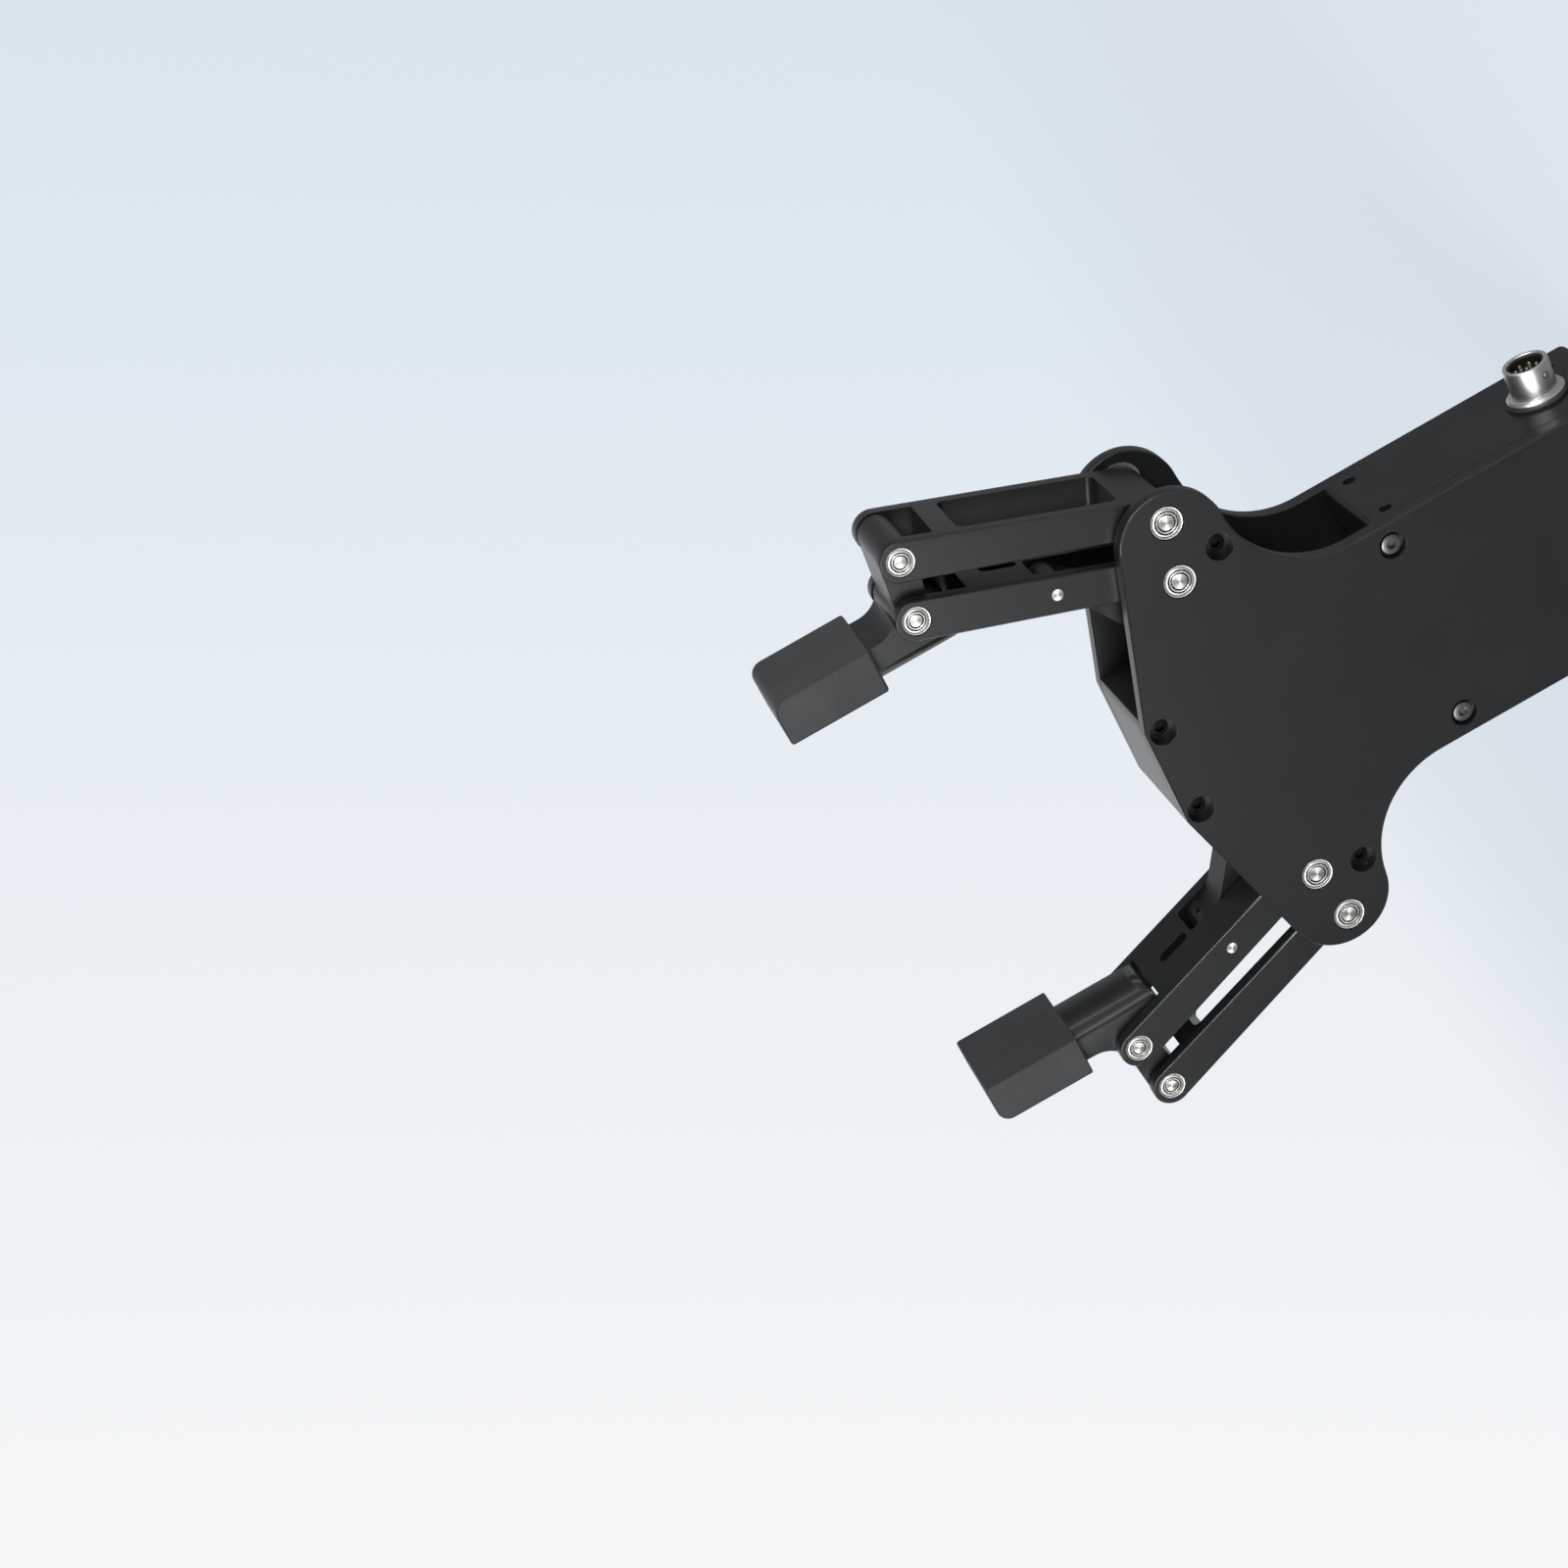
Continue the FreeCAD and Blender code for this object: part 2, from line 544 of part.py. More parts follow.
def finger():
    """Finger body: knuckle, hollow-backed neck, toe and the core inside the tip cover."""
    body = slab(rounded([
        finger_point(0, KNUCKLE_RADIUS - 0.02, 0),
        finger_point(NECK_OUTER, NECK_FOOT_HEIGHT, NECK_FILLET),
        finger_point(NECK_OUTER, CORE_TOP, 0),
        finger_point(CORE_INNER_FACE, CORE_TOP, 0),
        finger_point(CORE_INNER_FACE, PAD_BOTTOM, 0),
        finger_point(FINGER_INNER_FACE, PAD_BOTTOM, 0),
        finger_point(FINGER_INNER_FACE, FINGER_BOTTOM, TOE_RADIUS),
        finger_point(FINGER_TOE, FINGER_BOTTOM, 0.8),
        finger_point(UNDERSIDE[0], UNDERSIDE[1], 1.5),
        finger_point(0, 0.02 - KNUCKLE_RADIUS, 0),
    ]), -FINGER_HALF, FINGER_HALF)
    knuckle = rod_y(OUTER_FINGER_PIVOT, KNUCKLE_RADIUS, -FINGER_HALF, FINGER_HALF)
    inner_eye = rod_y(INNER_FINGER_PIVOT, KNUCKLE_RADIUS, -FINGER_HALF, FINGER_HALF)
    shape = body.fuse([knuckle, inner_eye]).removeSplitter()
    cuts = [rod_y(spot, FINGER_PIN_RADIUS + FIXED_CLEARANCE, -FINGER_HALF, FINGER_HALF)
            for spot in (OUTER_FINGER_PIVOT, INNER_FINGER_PIVOT)]
    face_x = OUTER_FINGER_PIVOT[0] - FINGER_INNER_FACE
    low = OUTER_FINGER_PIVOT[1] + FINGER_BOTTOM - 1
    high = OUTER_FINGER_PIVOT[1] + PAD_BOTTOM
    for side in (-1, 1):
        wedge = Part.Face(Part.makePolygon([
            vec(face_x - 1, side * (FINGER_HALF - FINGER_CHAMFER - 1), low),
            vec(face_x + FINGER_CHAMFER + 1, side * (FINGER_HALF + 1), low),
            vec(face_x - 1, side * (FINGER_HALF + 1), low),
            vec(face_x - 1, side * (FINGER_HALF - FINGER_CHAMFER - 1), low)]))
        cuts.append(wedge.extrude(vec(0, 0, high - low)))
    return shape.cut(cuts)


def finger_pad():
    """Tip cover: a soft sleeve over the finger's core with a rounded back corner."""
    half = PAD_DEPTH / 2
    outer_x = OUTER_FINGER_PIVOT[0] - PAD_OUTER_FACE
    grip_x = OUTER_FINGER_PIVOT[0] - PAD_GRIP_FACE
    low, high = OUTER_FINGER_PIVOT[1] + PAD_BOTTOM, OUTER_FINGER_PIVOT[1] + PAD_TOP
    cover = slab(rounded([(grip_x, low, 0), (outer_x, low, 0), (outer_x, high, PAD_TIP_RADIUS),
                          (grip_x, high, PAD_EDGE_RADIUS)]), -half, half)
    faces = [e for e in cover.Edges if len({round(v.Point.y, 6) for v in e.Vertexes}) == 1
             and e.BoundBox.ZMax > low + 0.01]
    cover = cover.makeFillet(PAD_EDGE_RADIUS, faces)
    hollow = block(OUTER_FINGER_PIVOT[0] - CORE_INNER_FACE - PAD_FIT,
                   OUTER_FINGER_PIVOT[0] - NECK_OUTER + PAD_FIT,
                   -FINGER_HALF - PAD_FIT, FINGER_HALF + PAD_FIT,
                   low - 1, OUTER_FINGER_PIVOT[1] + CORE_TOP + PAD_FIT)
    return cover.cut(hollow)


def drive_rod():
    """Cranked rod from the crosshead to the inner link, beside the middle plane."""
    knee = along(DRIVE_PIN, -ROD_KNEE_DISTANCE, -ROD_KNEE_OFFSET)
    upper = unit(DRIVE_PIN, knee)
    lower = unit(knee, CROSSHEAD_PIN)
    turn = math.acos(upper[0] * lower[0] + upper[1] * lower[1])
    mitre = ROD_HALF_WIDTH / math.cos(turn / 2)
    middle = unit((0, 0), (upper[0] + lower[0], upper[1] + lower[1]))
    sides = []
    for side in (1, -1):
        reach = side * ROD_HALF_WIDTH
        sides.append([
            (DRIVE_PIN[0] - upper[1] * reach, DRIVE_PIN[1] + upper[0] * reach, 0),
            (knee[0] - middle[1] * side * mitre, knee[1] + middle[0] * side * mitre,
             ROD_KNEE_RADIUS + reach),
            (CROSSHEAD_PIN[0] - lower[1] * reach, CROSSHEAD_PIN[1] + lower[0] * reach, 0)])
    shape = slab(rounded(sides[0] + sides[1][::-1]), ROD_FAR, ROD_OVERHANG)
    eyes = [rod_y(DRIVE_PIN, ROD_UPPER_EYE, ROD_FAR, ROD_OVERHANG),
            rod_y(CROSSHEAD_PIN, ROD_LOWER_EYE, ROD_FAR, ROD_OVERHANG)]
    inboard = along(DRIVE_PIN, 0, -ROD_UPPER_EYE)
    oil_hole = Part.makeCylinder(OIL_HOLE_RADIUS, ROD_UPPER_EYE,
                                 vec(inboard[0], (ROD_FAR + ROD_OVERHANG) / 2, inboard[1]),
                                 flat(DRIVE_PIN).sub(flat(inboard)))
    cuts = [rod_y(CROSSHEAD_PIN, CROSSHEAD_PIN_RADIUS + ROD_PIN_SLACK, ROD_FAR, ROD_OVERHANG),
            rod_y(DRIVE_PIN, DRIVE_PIN_RADIUS + RUNNING_CLEARANCE, ROD_FAR, ROD_OVERHANG), oil_hole]
    return shape.fuse(eyes).removeSplitter().cut(cuts)


def link_bearings(pivot):
    """The two bearings in a link's fork, one in each bar."""
    centre = along(pivot, LINK_LENGTH)
    length = BAR_THICKNESS - 2 * BEARING_RECESS
    return Part.makeCompound([
        bearing(centre, FINGER_BEARING_RADIUS, FINGER_PIN_RADIUS, side,
                LINK_HALF - BEARING_RECESS, length, False) for side in (-1, 1)])


def body_bearings(side):
    """Four flanged bearings pressed into one cover plate from the inside."""
    length = PLATE_THICKNESS - BEARING_RECESS
    return Part.makeCompound([
        bearing(spot, BODY_BEARING_RADIUS, BODY_SHAFT_RADIUS, side,
                BODY_DEPTH / 2 - BEARING_RECESS, length, True)
        for spot in both_sides([OUTER_PIVOT, INNER_PIVOT])])


def middle_housing():
    """U-shaped middle housing between the plates, with bosses and all its threads."""
    corner = BASE_CORNER_RADIUS
    shell = slab(rounded([
        (-WALL_X, 0, corner), (WALL_X, 0, corner), (WALL_X, WALL_TOP, WALL_END_RADIUS),
        (WALL_INNER_X, WALL_TOP, 0), (WALL_INNER_X, FLOOR_THICKNESS, 1.0),
        (-WALL_INNER_X, FLOOR_THICKNESS, 1.0), (-WALL_INNER_X, WALL_TOP, 0),
        (-WALL_X, WALL_TOP, WALL_END_RADIUS)]), -INNER_FACE, INNER_FACE)
    limits = slab(rounded([(-WALL_X, 0, corner), (WALL_X, 0, corner),
                           (WALL_X, WALL_TOP, WALL_END_RADIUS),
                           (-WALL_X, WALL_TOP, WALL_END_RADIUS)]), -INNER_FACE, INNER_FACE)
    bosses = [rod_y(spot, BOSS_RADIUS, -INNER_FACE, INNER_FACE).common(limits)
              for spot in both_sides([FRONT_MID_SCREW, BACK_MID_SCREW])]
    shell = shell.fuse(bosses).removeSplitter()
    cuts = []
    for side, places in ((-1, (FRONT_MID_SCREW, FRONT_LOW_SCREW)), (1, (BACK_MID_SCREW, BACK_LOW_SCREW))):
        cuts += [tapped_hole(spot, side, SHALLOW_COUNTERBORE) for spot in both_sides(places)]
    for z in (SIDE_HOLE_LOW, SIDE_HOLE_HIGH):
        for y in (-SIDE_HOLE_SPACING_Y / 2, SIDE_HOLE_SPACING_Y / 2):
            cuts.append(rod_x(WALL_INNER_X, WALL_X, y, z, SIDE_HOLE_RADIUS))
    for x in (-BASE_HOLE_SPACING_X / 2, BASE_HOLE_SPACING_X / 2):
        for y in (-BASE_HOLE_SPACING_Y / 2, BASE_HOLE_SPACING_Y / 2):
            cuts.append(rod_z(x, y, BASE_HOLE_RADIUS, 0, BASE_HOLE_DEPTH))
    cuts.append(rod_x(WALL_INNER_X, WALL_X, 0, CONNECTOR_HEIGHT, THREAD_RADIUS + FIXED_CLEARANCE))
    return shell.cut(cuts)


def top_block():
    """Cross piece that closes the top between the plates and holds the screw's end."""
    whole = slab(plate_outline(), -INNER_FACE, INNER_FACE)
    shape = whole.common(block(-TOP_BLOCK_HALF_WIDTH, TOP_BLOCK_HALF_WIDTH, -INNER_FACE, INNER_FACE,
                               TOP_BLOCK_BOTTOM, TOP_HEIGHT))
    cuts = [tapped_hole(spot, side, DEEP_COUNTERBORE)
            for side in (-1, 1) for spot in both_sides([TOP_SCREW])]
    cuts += guide_seats(TOP_BLOCK_BOTTOM, TOP_BLOCK_BOTTOM + GUIDE_SEAT)
    cuts.append(rod_z(0, 0, SCREW_JOURNAL_RADIUS + 1.0 + FIXED_CLEARANCE,
                      TOP_BLOCK_BOTTOM, TOP_BLOCK_BOTTOM + SCREW_BEARING_THICKNESS))
    return shape.cut(cuts)


def guide_seats(z_low, z_high):
    """Holes that hold the ends of the two guide rods."""
    return [rod_z(0, side * GUIDE_OFFSET, GUIDE_RADIUS + FIXED_CLEARANCE, z_low, z_high)
            for side in (-1, 1)]


def ear_spacer():
    """Spacer block between the plates at one ear, tapped from both ends."""
    x, z = EAR_SCREW
    w, h = SPACER_WIDTH / 2, SPACER_HEIGHT / 2
    shape = slab(rounded([(x - w, z - h, SPACER_CORNER), (x + w, z - h, SPACER_CORNER),
                          (x + w, z + h, SPACER_CORNER), (x - w, z + h, SPACER_CORNER)]),
                 -INNER_FACE, INNER_FACE)
    return shape.cut([tapped_hole(EAR_SCREW, side, DEEP_COUNTERBORE) for side in (-1, 1)])


def crosshead():
    """Crosshead: a guided base with two lugs for each rod's pin."""
    base_low = CROSSHEAD_TOP - CROSSHEAD_BASE_HEIGHT
    base = block(-CROSSHEAD_HALF_WIDTH, CROSSHEAD_HALF_WIDTH, -CROSSHEAD_HALF_DEPTH,
                 CROSSHEAD_HALF_DEPTH, base_low, CROSSHEAD_TOP)
    base = base.makeFillet(CROSSHEAD_CORNER, [e for e in base.Edges if e.BoundBox.ZLength > 1])
    lugs = []
    for y_low, y_high in ((-CROSSHEAD_HALF_DEPTH, ROD_FAR - LUG_GAP), NEAR_LUG):
        top = CROSSHEAD_PIN[1] + LUG_REACH
        round_top = (CROSSHEAD_HALF_WIDTH - LUG_INNER_X) / 2 - 0.01
        lug = slab(rounded([
            (LUG_INNER_X, CROSSHEAD_TOP - 0.5, 0), (CROSSHEAD_HALF_WIDTH, CROSSHEAD_TOP - 0.5, 0),
            (CROSSHEAD_HALF_WIDTH, top, round_top), (LUG_INNER_X, top, round_top)]), y_low, y_high)
        lug = lug.cut(rod_y(CROSSHEAD_PIN, CROSSHEAD_PIN_RADIUS + FIXED_CLEARANCE, y_low, y_high))
        lugs += [lug, turned(lug)]
    cuts = [rod_z(0, 0, NUT_RADIUS + FIXED_CLEARANCE, base_low, CROSSHEAD_TOP)]
    cuts += [rod_z(0, side * GUIDE_OFFSET, GUIDE_RADIUS + RUNNING_CLEARANCE, base_low, CROSSHEAD_TOP)
             for side in (-1, 1)]
    return base.fuse(lugs).removeSplitter().cut(cuts)


def crosshead_pins():
    """The two pins that the rods' lower eyes hang on."""
    pin = rod_y(CROSSHEAD_PIN, CROSSHEAD_PIN_RADIUS, -CROSSHEAD_HALF_DEPTH, NEAR_LUG[1])
    return Part.makeCompound([pin, turned(pin)])


def drive_nut():
    """Flanged bronze nut pressed into the crosshead from below."""
    base_low = CROSSHEAD_TOP - CROSSHEAD_BASE_HEIGHT
    nut = rod_z(0, 0, NUT_RADIUS, base_low, CROSSHEAD_TOP)
    flange = rod_z(0, 0, NUT_FLANGE_RADIUS, base_low - NUT_FLANGE_THICKNESS, base_low)
    bore = rod_z(0, 0, SCREW_THREAD_RADIUS + RUNNING_CLEARANCE, base_low - NUT_FLANGE_THICKNESS,
                 CROSSHEAD_TOP)
    return nut.fuse(flange).removeSplitter().cut(bore)


def lead_screw():
    """Lead screw with a journal at each end."""
    thread_low = MOUNT_TOP + 0.3
    thread_high = TOP_BLOCK_BOTTOM - 0.3
    thread = rod_z(0, 0, SCREW_THREAD_RADIUS, thread_low, thread_high)
    thread = thread.makeChamfer(0.4, [e for e in thread.Edges if len(e.Vertexes) == 1])
    journal = rod_z(0, 0, SCREW_JOURNAL_RADIUS, MOUNT_BOTTOM - GEARHEAD_BORE_DEPTH + 0.3,
                    TOP_BLOCK_BOTTOM + SCREW_BEARING_THICKNESS - 0.3)
    return thread.fuse(journal).removeSplitter()


def screw_bushing():
    """Plain bushing for the upper journal, in the top block."""
    low, high = TOP_BLOCK_BOTTOM, TOP_BLOCK_BOTTOM + SCREW_BEARING_THICKNESS
    return rod_z(0, 0, SCREW_JOURNAL_RADIUS + 1.0, low, high).cut(
        rod_z(0, 0, SCREW_JOURNAL_RADIUS + RUNNING_CLEARANCE, low, high))


def screw_bearing():
    """Thrust bearing of the lead screw, let into the top of the motor mount."""
    low, high = MOUNT_TOP - SCREW_BEARING_THICKNESS, MOUNT_TOP
    ring = rod_z(0, 0, SCREW_BEARING_RADIUS, low, high)
    groove = rod_z(0, 0, SCREW_BEARING_RADIUS - 0.8, high - GROOVE_DEPTH, high).cut(
        rod_z(0, 0, SCREW_BEARING_RADIUS - 1.4, high - GROOVE_DEPTH, high))
    return ring.cut([groove, rod_z(0, 0, SCREW_JOURNAL_RADIUS + RUNNING_CLEARANCE, low, high)])


def motor_mount():
    """Cross wall that carries the motor unit, the screw bearing and the guide rods."""
    x = WALL_INNER_X - MOUNT_FIT
    notch = BOSS_RADIUS + 2 * MOUNT_FIT
    shape = block(-x, x, -INNER_FACE, INNER_FACE, MOUNT_BOTTOM, MOUNT_TOP)
    cuts = [rod_y(spot, notch, -INNER_FACE, INNER_FACE)
            for spot in both_sides([FRONT_MID_SCREW, BACK_MID_SCREW])]
    cuts.append(rod_z(0, 0, SCREW_BEARING_RADIUS + FIXED_CLEARANCE,
                      MOUNT_TOP - SCREW_BEARING_THICKNESS, MOUNT_TOP))
    cuts.append(rod_z(0, 0, SCREW_JOURNAL_RADIUS + 0.5, MOUNT_BOTTOM, MOUNT_TOP))
    cuts += guide_seats(MOUNT_TOP - GUIDE_SEAT, MOUNT_TOP)
    return shape.cut(cuts)


def guide_rods():
    """Two round rods that keep the crosshead square."""
    low, high = MOUNT_TOP - GUIDE_SEAT, TOP_BLOCK_BOTTOM + GUIDE_SEAT
    return Part.makeCompound([rod_z(0, side * GUIDE_OFFSET, GUIDE_RADIUS, low, high)
                              for side in (-1, 1)])


def gearhead():
    """Planetary gearhead under the mount, with a hollow output for the screw."""
    low = MOUNT_BOTTOM - GEARHEAD_LENGTH
    can = rod_z(0, 0, MOTOR_RADIUS, low, MOUNT_BOTTOM)
    return can.cut(rod_z(0, 0, SCREW_JOURNAL_RADIUS + RUNNING_CLEARANCE,
                         MOUNT_BOTTOM - GEARHEAD_BORE_DEPTH, MOUNT_BOTTOM))


def motor():
    """Brushless motor can with a small rear cap."""
    high = MOUNT_BOTTOM - GEARHEAD_LENGTH
    can = rod_z(0, 0, MOTOR_RADIUS, high - MOTOR_LENGTH, high)
    can = can.makeChamfer(0.5, [e for e in can.Edges
                                if len(e.Vertexes) == 1 and e.BoundBox.ZMax < high - 1])
    cap = rod_z(0, 0, MOTOR_CAP_RADIUS, high - MOTOR_LENGTH - MOTOR_CAP_LENGTH, high - MOTOR_LENGTH)
    return can.fuse(cap).removeSplitter()


def control_board():
    """Driver board standing between the housing floor and the motor mount."""
    return block(BOARD_X, BOARD_X + BOARD_THICKNESS, -BOARD_HALF_DEPTH, BOARD_HALF_DEPTH,
                 FLOOR_THICKNESS, MOUNT_BOTTOM)


def board_components():
    """Processor, power stage, capacitors and terminal on the driver board."""
    outer = BOARD_X
    parts = []
    for y, z, width, height, rise in (PROCESSOR, LOWER_DRIVER, UPPER_DRIVER, TERMINAL):
        parts.append(block(outer - rise, outer, y - width / 2, y + width / 2,
                           z - height / 2, z + height / 2))
    for y, z in (LOWER_CAPACITOR, UPPER_CAPACITOR):
        parts.append(rod_x(outer - CAPACITOR_RISE, outer, y, z, CAPACITOR_RADIUS))
    return Part.makeCompound(parts)


def connector_shell():
    """Round connector shell: barrel with its lip, flange and threaded tail through the wall."""
    seat = WALL_X + SEAL_THICKNESS
    flange = rod_x(seat, seat + FLANGE_THICKNESS, 0, CONNECTOR_HEIGHT, FLANGE_RADIUS)
    flange = flange.makeChamfer(FLANGE_CHAMFER, [
        e for e in flange.Edges
        if len(e.Vertexes) == 1 and e.BoundBox.XMin > seat + FLANGE_THICKNESS / 2])
    tip = seat + FLANGE_THICKNESS + BARREL_LENGTH
    barrel = rod_x(seat, tip, 0, CONNECTOR_HEIGHT, BARREL_RADIUS)
    lip = rod_x(tip - LIP_LENGTH, tip, 0, CONNECTOR_HEIGHT, LIP_RADIUS)
    lip = lip.makeChamfer(LIP_CHAMFER, [e for e in lip.Edges if len(e.Vertexes) == 1])
    tail = rod_x(seat - TAIL_LENGTH, seat, 0, CONNECTOR_HEIGHT, THREAD_RADIUS)
    bore = rod_x(seat - TAIL_LENGTH, tip, 0, CONNECTOR_HEIGHT, BARREL_BORE - 0.6)
    socket = rod_x(seat, tip, 0, CONNECTOR_HEIGHT, BARREL_BORE)
    key = block(seat, tip - 0.8, -0.45, 0.45, CONNECTOR_HEIGHT + BARREL_BORE - 0.5,
                CONNECTOR_HEIGHT + BARREL_BORE + 0.1)
    return flange.fuse([barrel, lip, tail]).cut([bore, socket]).fuse(key).removeSplitter()


def connector_insert():
    """Insulating insert with the contacts' holes and the keyway."""
    seat = WALL_X + SEAL_THICKNESS
    tip = seat + FLANGE_THICKNESS + BARREL_LENGTH
    high = tip - INSERT_RECESS - CONTACT_STANDOUT
    shape = rod_x(seat, high, 0, CONNECTOR_HEIGHT, BARREL_BORE - INSERT_FIT)
    cuts = [rod_x(seat, high, y, z, CONTACT_RADIUS + FIXED_CLEARANCE) for y, z in contact_places()]
    cuts.append(block(seat, high, -0.5, 0.5, CONNECTOR_HEIGHT + BARREL_BORE - 0.55,
                      CONNECTOR_HEIGHT + BARREL_BORE + 0.2))
    return shape.cut(cuts)


def contact_places():
    """Contacts of the connector: one in the middle and a ring around it."""
    places = [(0.0, CONNECTOR_HEIGHT)]
    for i in range(CONTACT_COUNT):
        turn = math.radians(-90 + 360 / CONTACT_COUNT * i)
        places.append((CONTACT_CIRCLE * math.cos(turn),
                       CONNECTOR_HEIGHT + CONTACT_CIRCLE * math.sin(turn)))
    return places


def connector_contacts():
    """Pin contacts that stand out of the insert."""
    seat = WALL_X + SEAL_THICKNESS
    high = seat + FLANGE_THICKNESS + BARREL_LENGTH - INSERT_RECESS
    return Part.makeCompound([rod_x(seat, high, y, z, CONTACT_RADIUS) for y, z in contact_places()])


def connector_seal():
    """Flat seal between the connector's flange and the wall."""
    return rod_x(WALL_X, WALL_X + SEAL_THICKNESS, 0, CONNECTOR_HEIGHT, SEAL_RADIUS).cut(
        rod_x(WALL_X, WALL_X + SEAL_THICKNESS, 0, CONNECTOR_HEIGHT, THREAD_RADIUS + FIXED_CLEARANCE))


def connector_nut():
    """Hexagonal nut on the connector's tail, inside the wall."""
    high = WALL_INNER_X
    corners = []
    for i in range(7):
        turn = math.radians(60 * i)
        corners.append(vec(high - NUT_THICKNESS, NUT_ACROSS / math.sqrt(3) * math.cos(turn),
                           CONNECTOR_HEIGHT + NUT_ACROSS / math.sqrt(3) * math.sin(turn)))
    nut = Part.Face(Part.makePolygon(corners)).extrude(vec(NUT_THICKNESS, 0, 0))
    return nut.cut(rod_x(high - NUT_THICKNESS, high, 0, CONNECTOR_HEIGHT,
                         THREAD_RADIUS + FIXED_CLEARANCE))


def save(name, shape):
    """Write one node as a STEP file."""
    for solid in shape.Solids:
        if not solid.isValid() or solid.Volume <= 0:
            print("bad solid in", name)
    shape.exportStep("parts/" + name + ".step")
    print("%-24s %2d solids %9.2f mm3" % (name, len(shape.Solids), shape.Volume))


def arm_nodes():
    """Pieces of the right arm by name."""
    shaft_half = BODY_DEPTH / 2 - BEARING_RECESS
    pin_half = LINK_HALF - BEARING_RECESS
    return {
        "outer_link": outer_link(),
        "inner_link": inner_link(),
        "finger": finger(),
        "finger_pad": finger_pad(),
        "drive_rod": drive_rod(),
        "outer_shaft": shaft(OUTER_PIVOT, BODY_SHAFT_RADIUS, shaft_half),
        "inner_shaft": shaft(INNER_PIVOT, BODY_SHAFT_RADIUS, shaft_half),
        "outer_finger_pin": shaft(OUTER_FINGER_PIVOT, FINGER_PIN_RADIUS, pin_half),
        "inner_finger_pin": shaft(INNER_FINGER_PIVOT, FINGER_PIN_RADIUS, pin_half),
        "drive_pin": shaft(DRIVE_PIN, DRIVE_PIN_RADIUS, LINK_HALF - DRIVE_PIN_RECESS),
        "outer_link_bearings": link_bearings(OUTER_PIVOT),
        "inner_link_bearings": link_bearings(INNER_PIVOT),
        "ear_spacer": ear_spacer(),
    }


def main():
    """Build every node and write it to parts/."""
    os.makedirs("parts", exist_ok=True)
    front_screws = [(TOP_SCREW, DEEP_COUNTERBORE), (EAR_SCREW, DEEP_COUNTERBORE),
                    (FRONT_MID_SCREW, SHALLOW_COUNTERBORE), (FRONT_LOW_SCREW, SHALLOW_COUNTERBORE)]
    back_screws = [(TOP_SCREW, DEEP_COUNTERBORE), (EAR_SCREW, DEEP_COUNTERBORE),
                   (BACK_MID_SCREW, SHALLOW_COUNTERBORE), (BACK_LOW_SCREW, SHALLOW_COUNTERBORE)]
    for name, side, screws in (("front", -1, front_screws), ("back", 1, back_screws)):
        save(name + "_plate", plate(side, screws))
        save(name + "_plate_screws", Part.makeCompound(
            [cap_screw(spot, side, depth) for place, depth in screws for spot in both_sides([place])]))
        save(name + "_body_bearings", body_bearings(side))
    for name, shape in arm_nodes().items():
        save("right_" + name, shape)
        save("left_" + name, turned(shape))
    for name, build in (
            ("middle_housing", middle_housing), ("top_block", top_block), ("crosshead", crosshead),
            ("crosshead_pins", crosshead_pins), ("drive_nut", drive_nut), ("lead_screw", lead_screw),
            ("screw_bushing", screw_bushing), ("screw_bearing", screw_bearing),
            ("motor_mount", motor_mount), ("guide_rods", guide_rods), ("gearhead", gearhead),
            ("motor", motor), ("control_board", control_board),
            ("board_components", board_components), ("connector_shell", connector_shell),
            ("connector_insert", connector_insert), ("connector_contacts", connector_contacts),
            ("connector_seal", connector_seal), ("connector_nut", connector_nut)):
        save(name, build())


main()
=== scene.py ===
"""Dressed model of the electric two finger gripper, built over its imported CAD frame.

The frame gives every machined piece its place and its main shape. Here the machined pieces
get broken edges, the turned pieces are spun again with their rims and grooves, the screws get
their sockets, and every surface gets a finish. Lengths in the classes are in millimetres.
"""
import json
import logging
import math
from dataclasses import dataclass, field
from enum import Enum
from typing import Iterable

import bmesh
import bpy
from mathutils import Matrix, Vector

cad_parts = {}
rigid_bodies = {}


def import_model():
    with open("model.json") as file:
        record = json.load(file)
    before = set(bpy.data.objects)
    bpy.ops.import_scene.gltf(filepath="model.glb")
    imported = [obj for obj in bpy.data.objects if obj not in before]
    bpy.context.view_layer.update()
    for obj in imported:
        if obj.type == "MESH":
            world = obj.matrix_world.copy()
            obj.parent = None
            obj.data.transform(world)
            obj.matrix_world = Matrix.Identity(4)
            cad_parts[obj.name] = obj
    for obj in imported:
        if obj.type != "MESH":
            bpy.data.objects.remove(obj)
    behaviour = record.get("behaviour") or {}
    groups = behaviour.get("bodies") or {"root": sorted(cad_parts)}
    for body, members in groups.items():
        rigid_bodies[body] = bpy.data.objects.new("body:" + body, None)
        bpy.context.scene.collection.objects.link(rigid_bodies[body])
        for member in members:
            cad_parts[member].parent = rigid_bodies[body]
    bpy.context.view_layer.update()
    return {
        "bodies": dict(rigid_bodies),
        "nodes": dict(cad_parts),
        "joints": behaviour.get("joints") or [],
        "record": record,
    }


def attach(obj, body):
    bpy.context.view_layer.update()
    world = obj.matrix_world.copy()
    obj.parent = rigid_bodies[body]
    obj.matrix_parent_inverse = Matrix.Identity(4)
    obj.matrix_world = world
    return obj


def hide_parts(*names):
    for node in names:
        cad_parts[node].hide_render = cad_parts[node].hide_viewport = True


LOG = logging.getLogger("gripper")
MM = 0.001
LATHE_SPAN = 4.0
LATHE_SLOPE = 0.37
Colour = tuple[float, float, float]
Point = tuple[float, float]
Place = tuple[float, float, float]
Shape = bmesh.types.BMesh
Node = bpy.types.Node


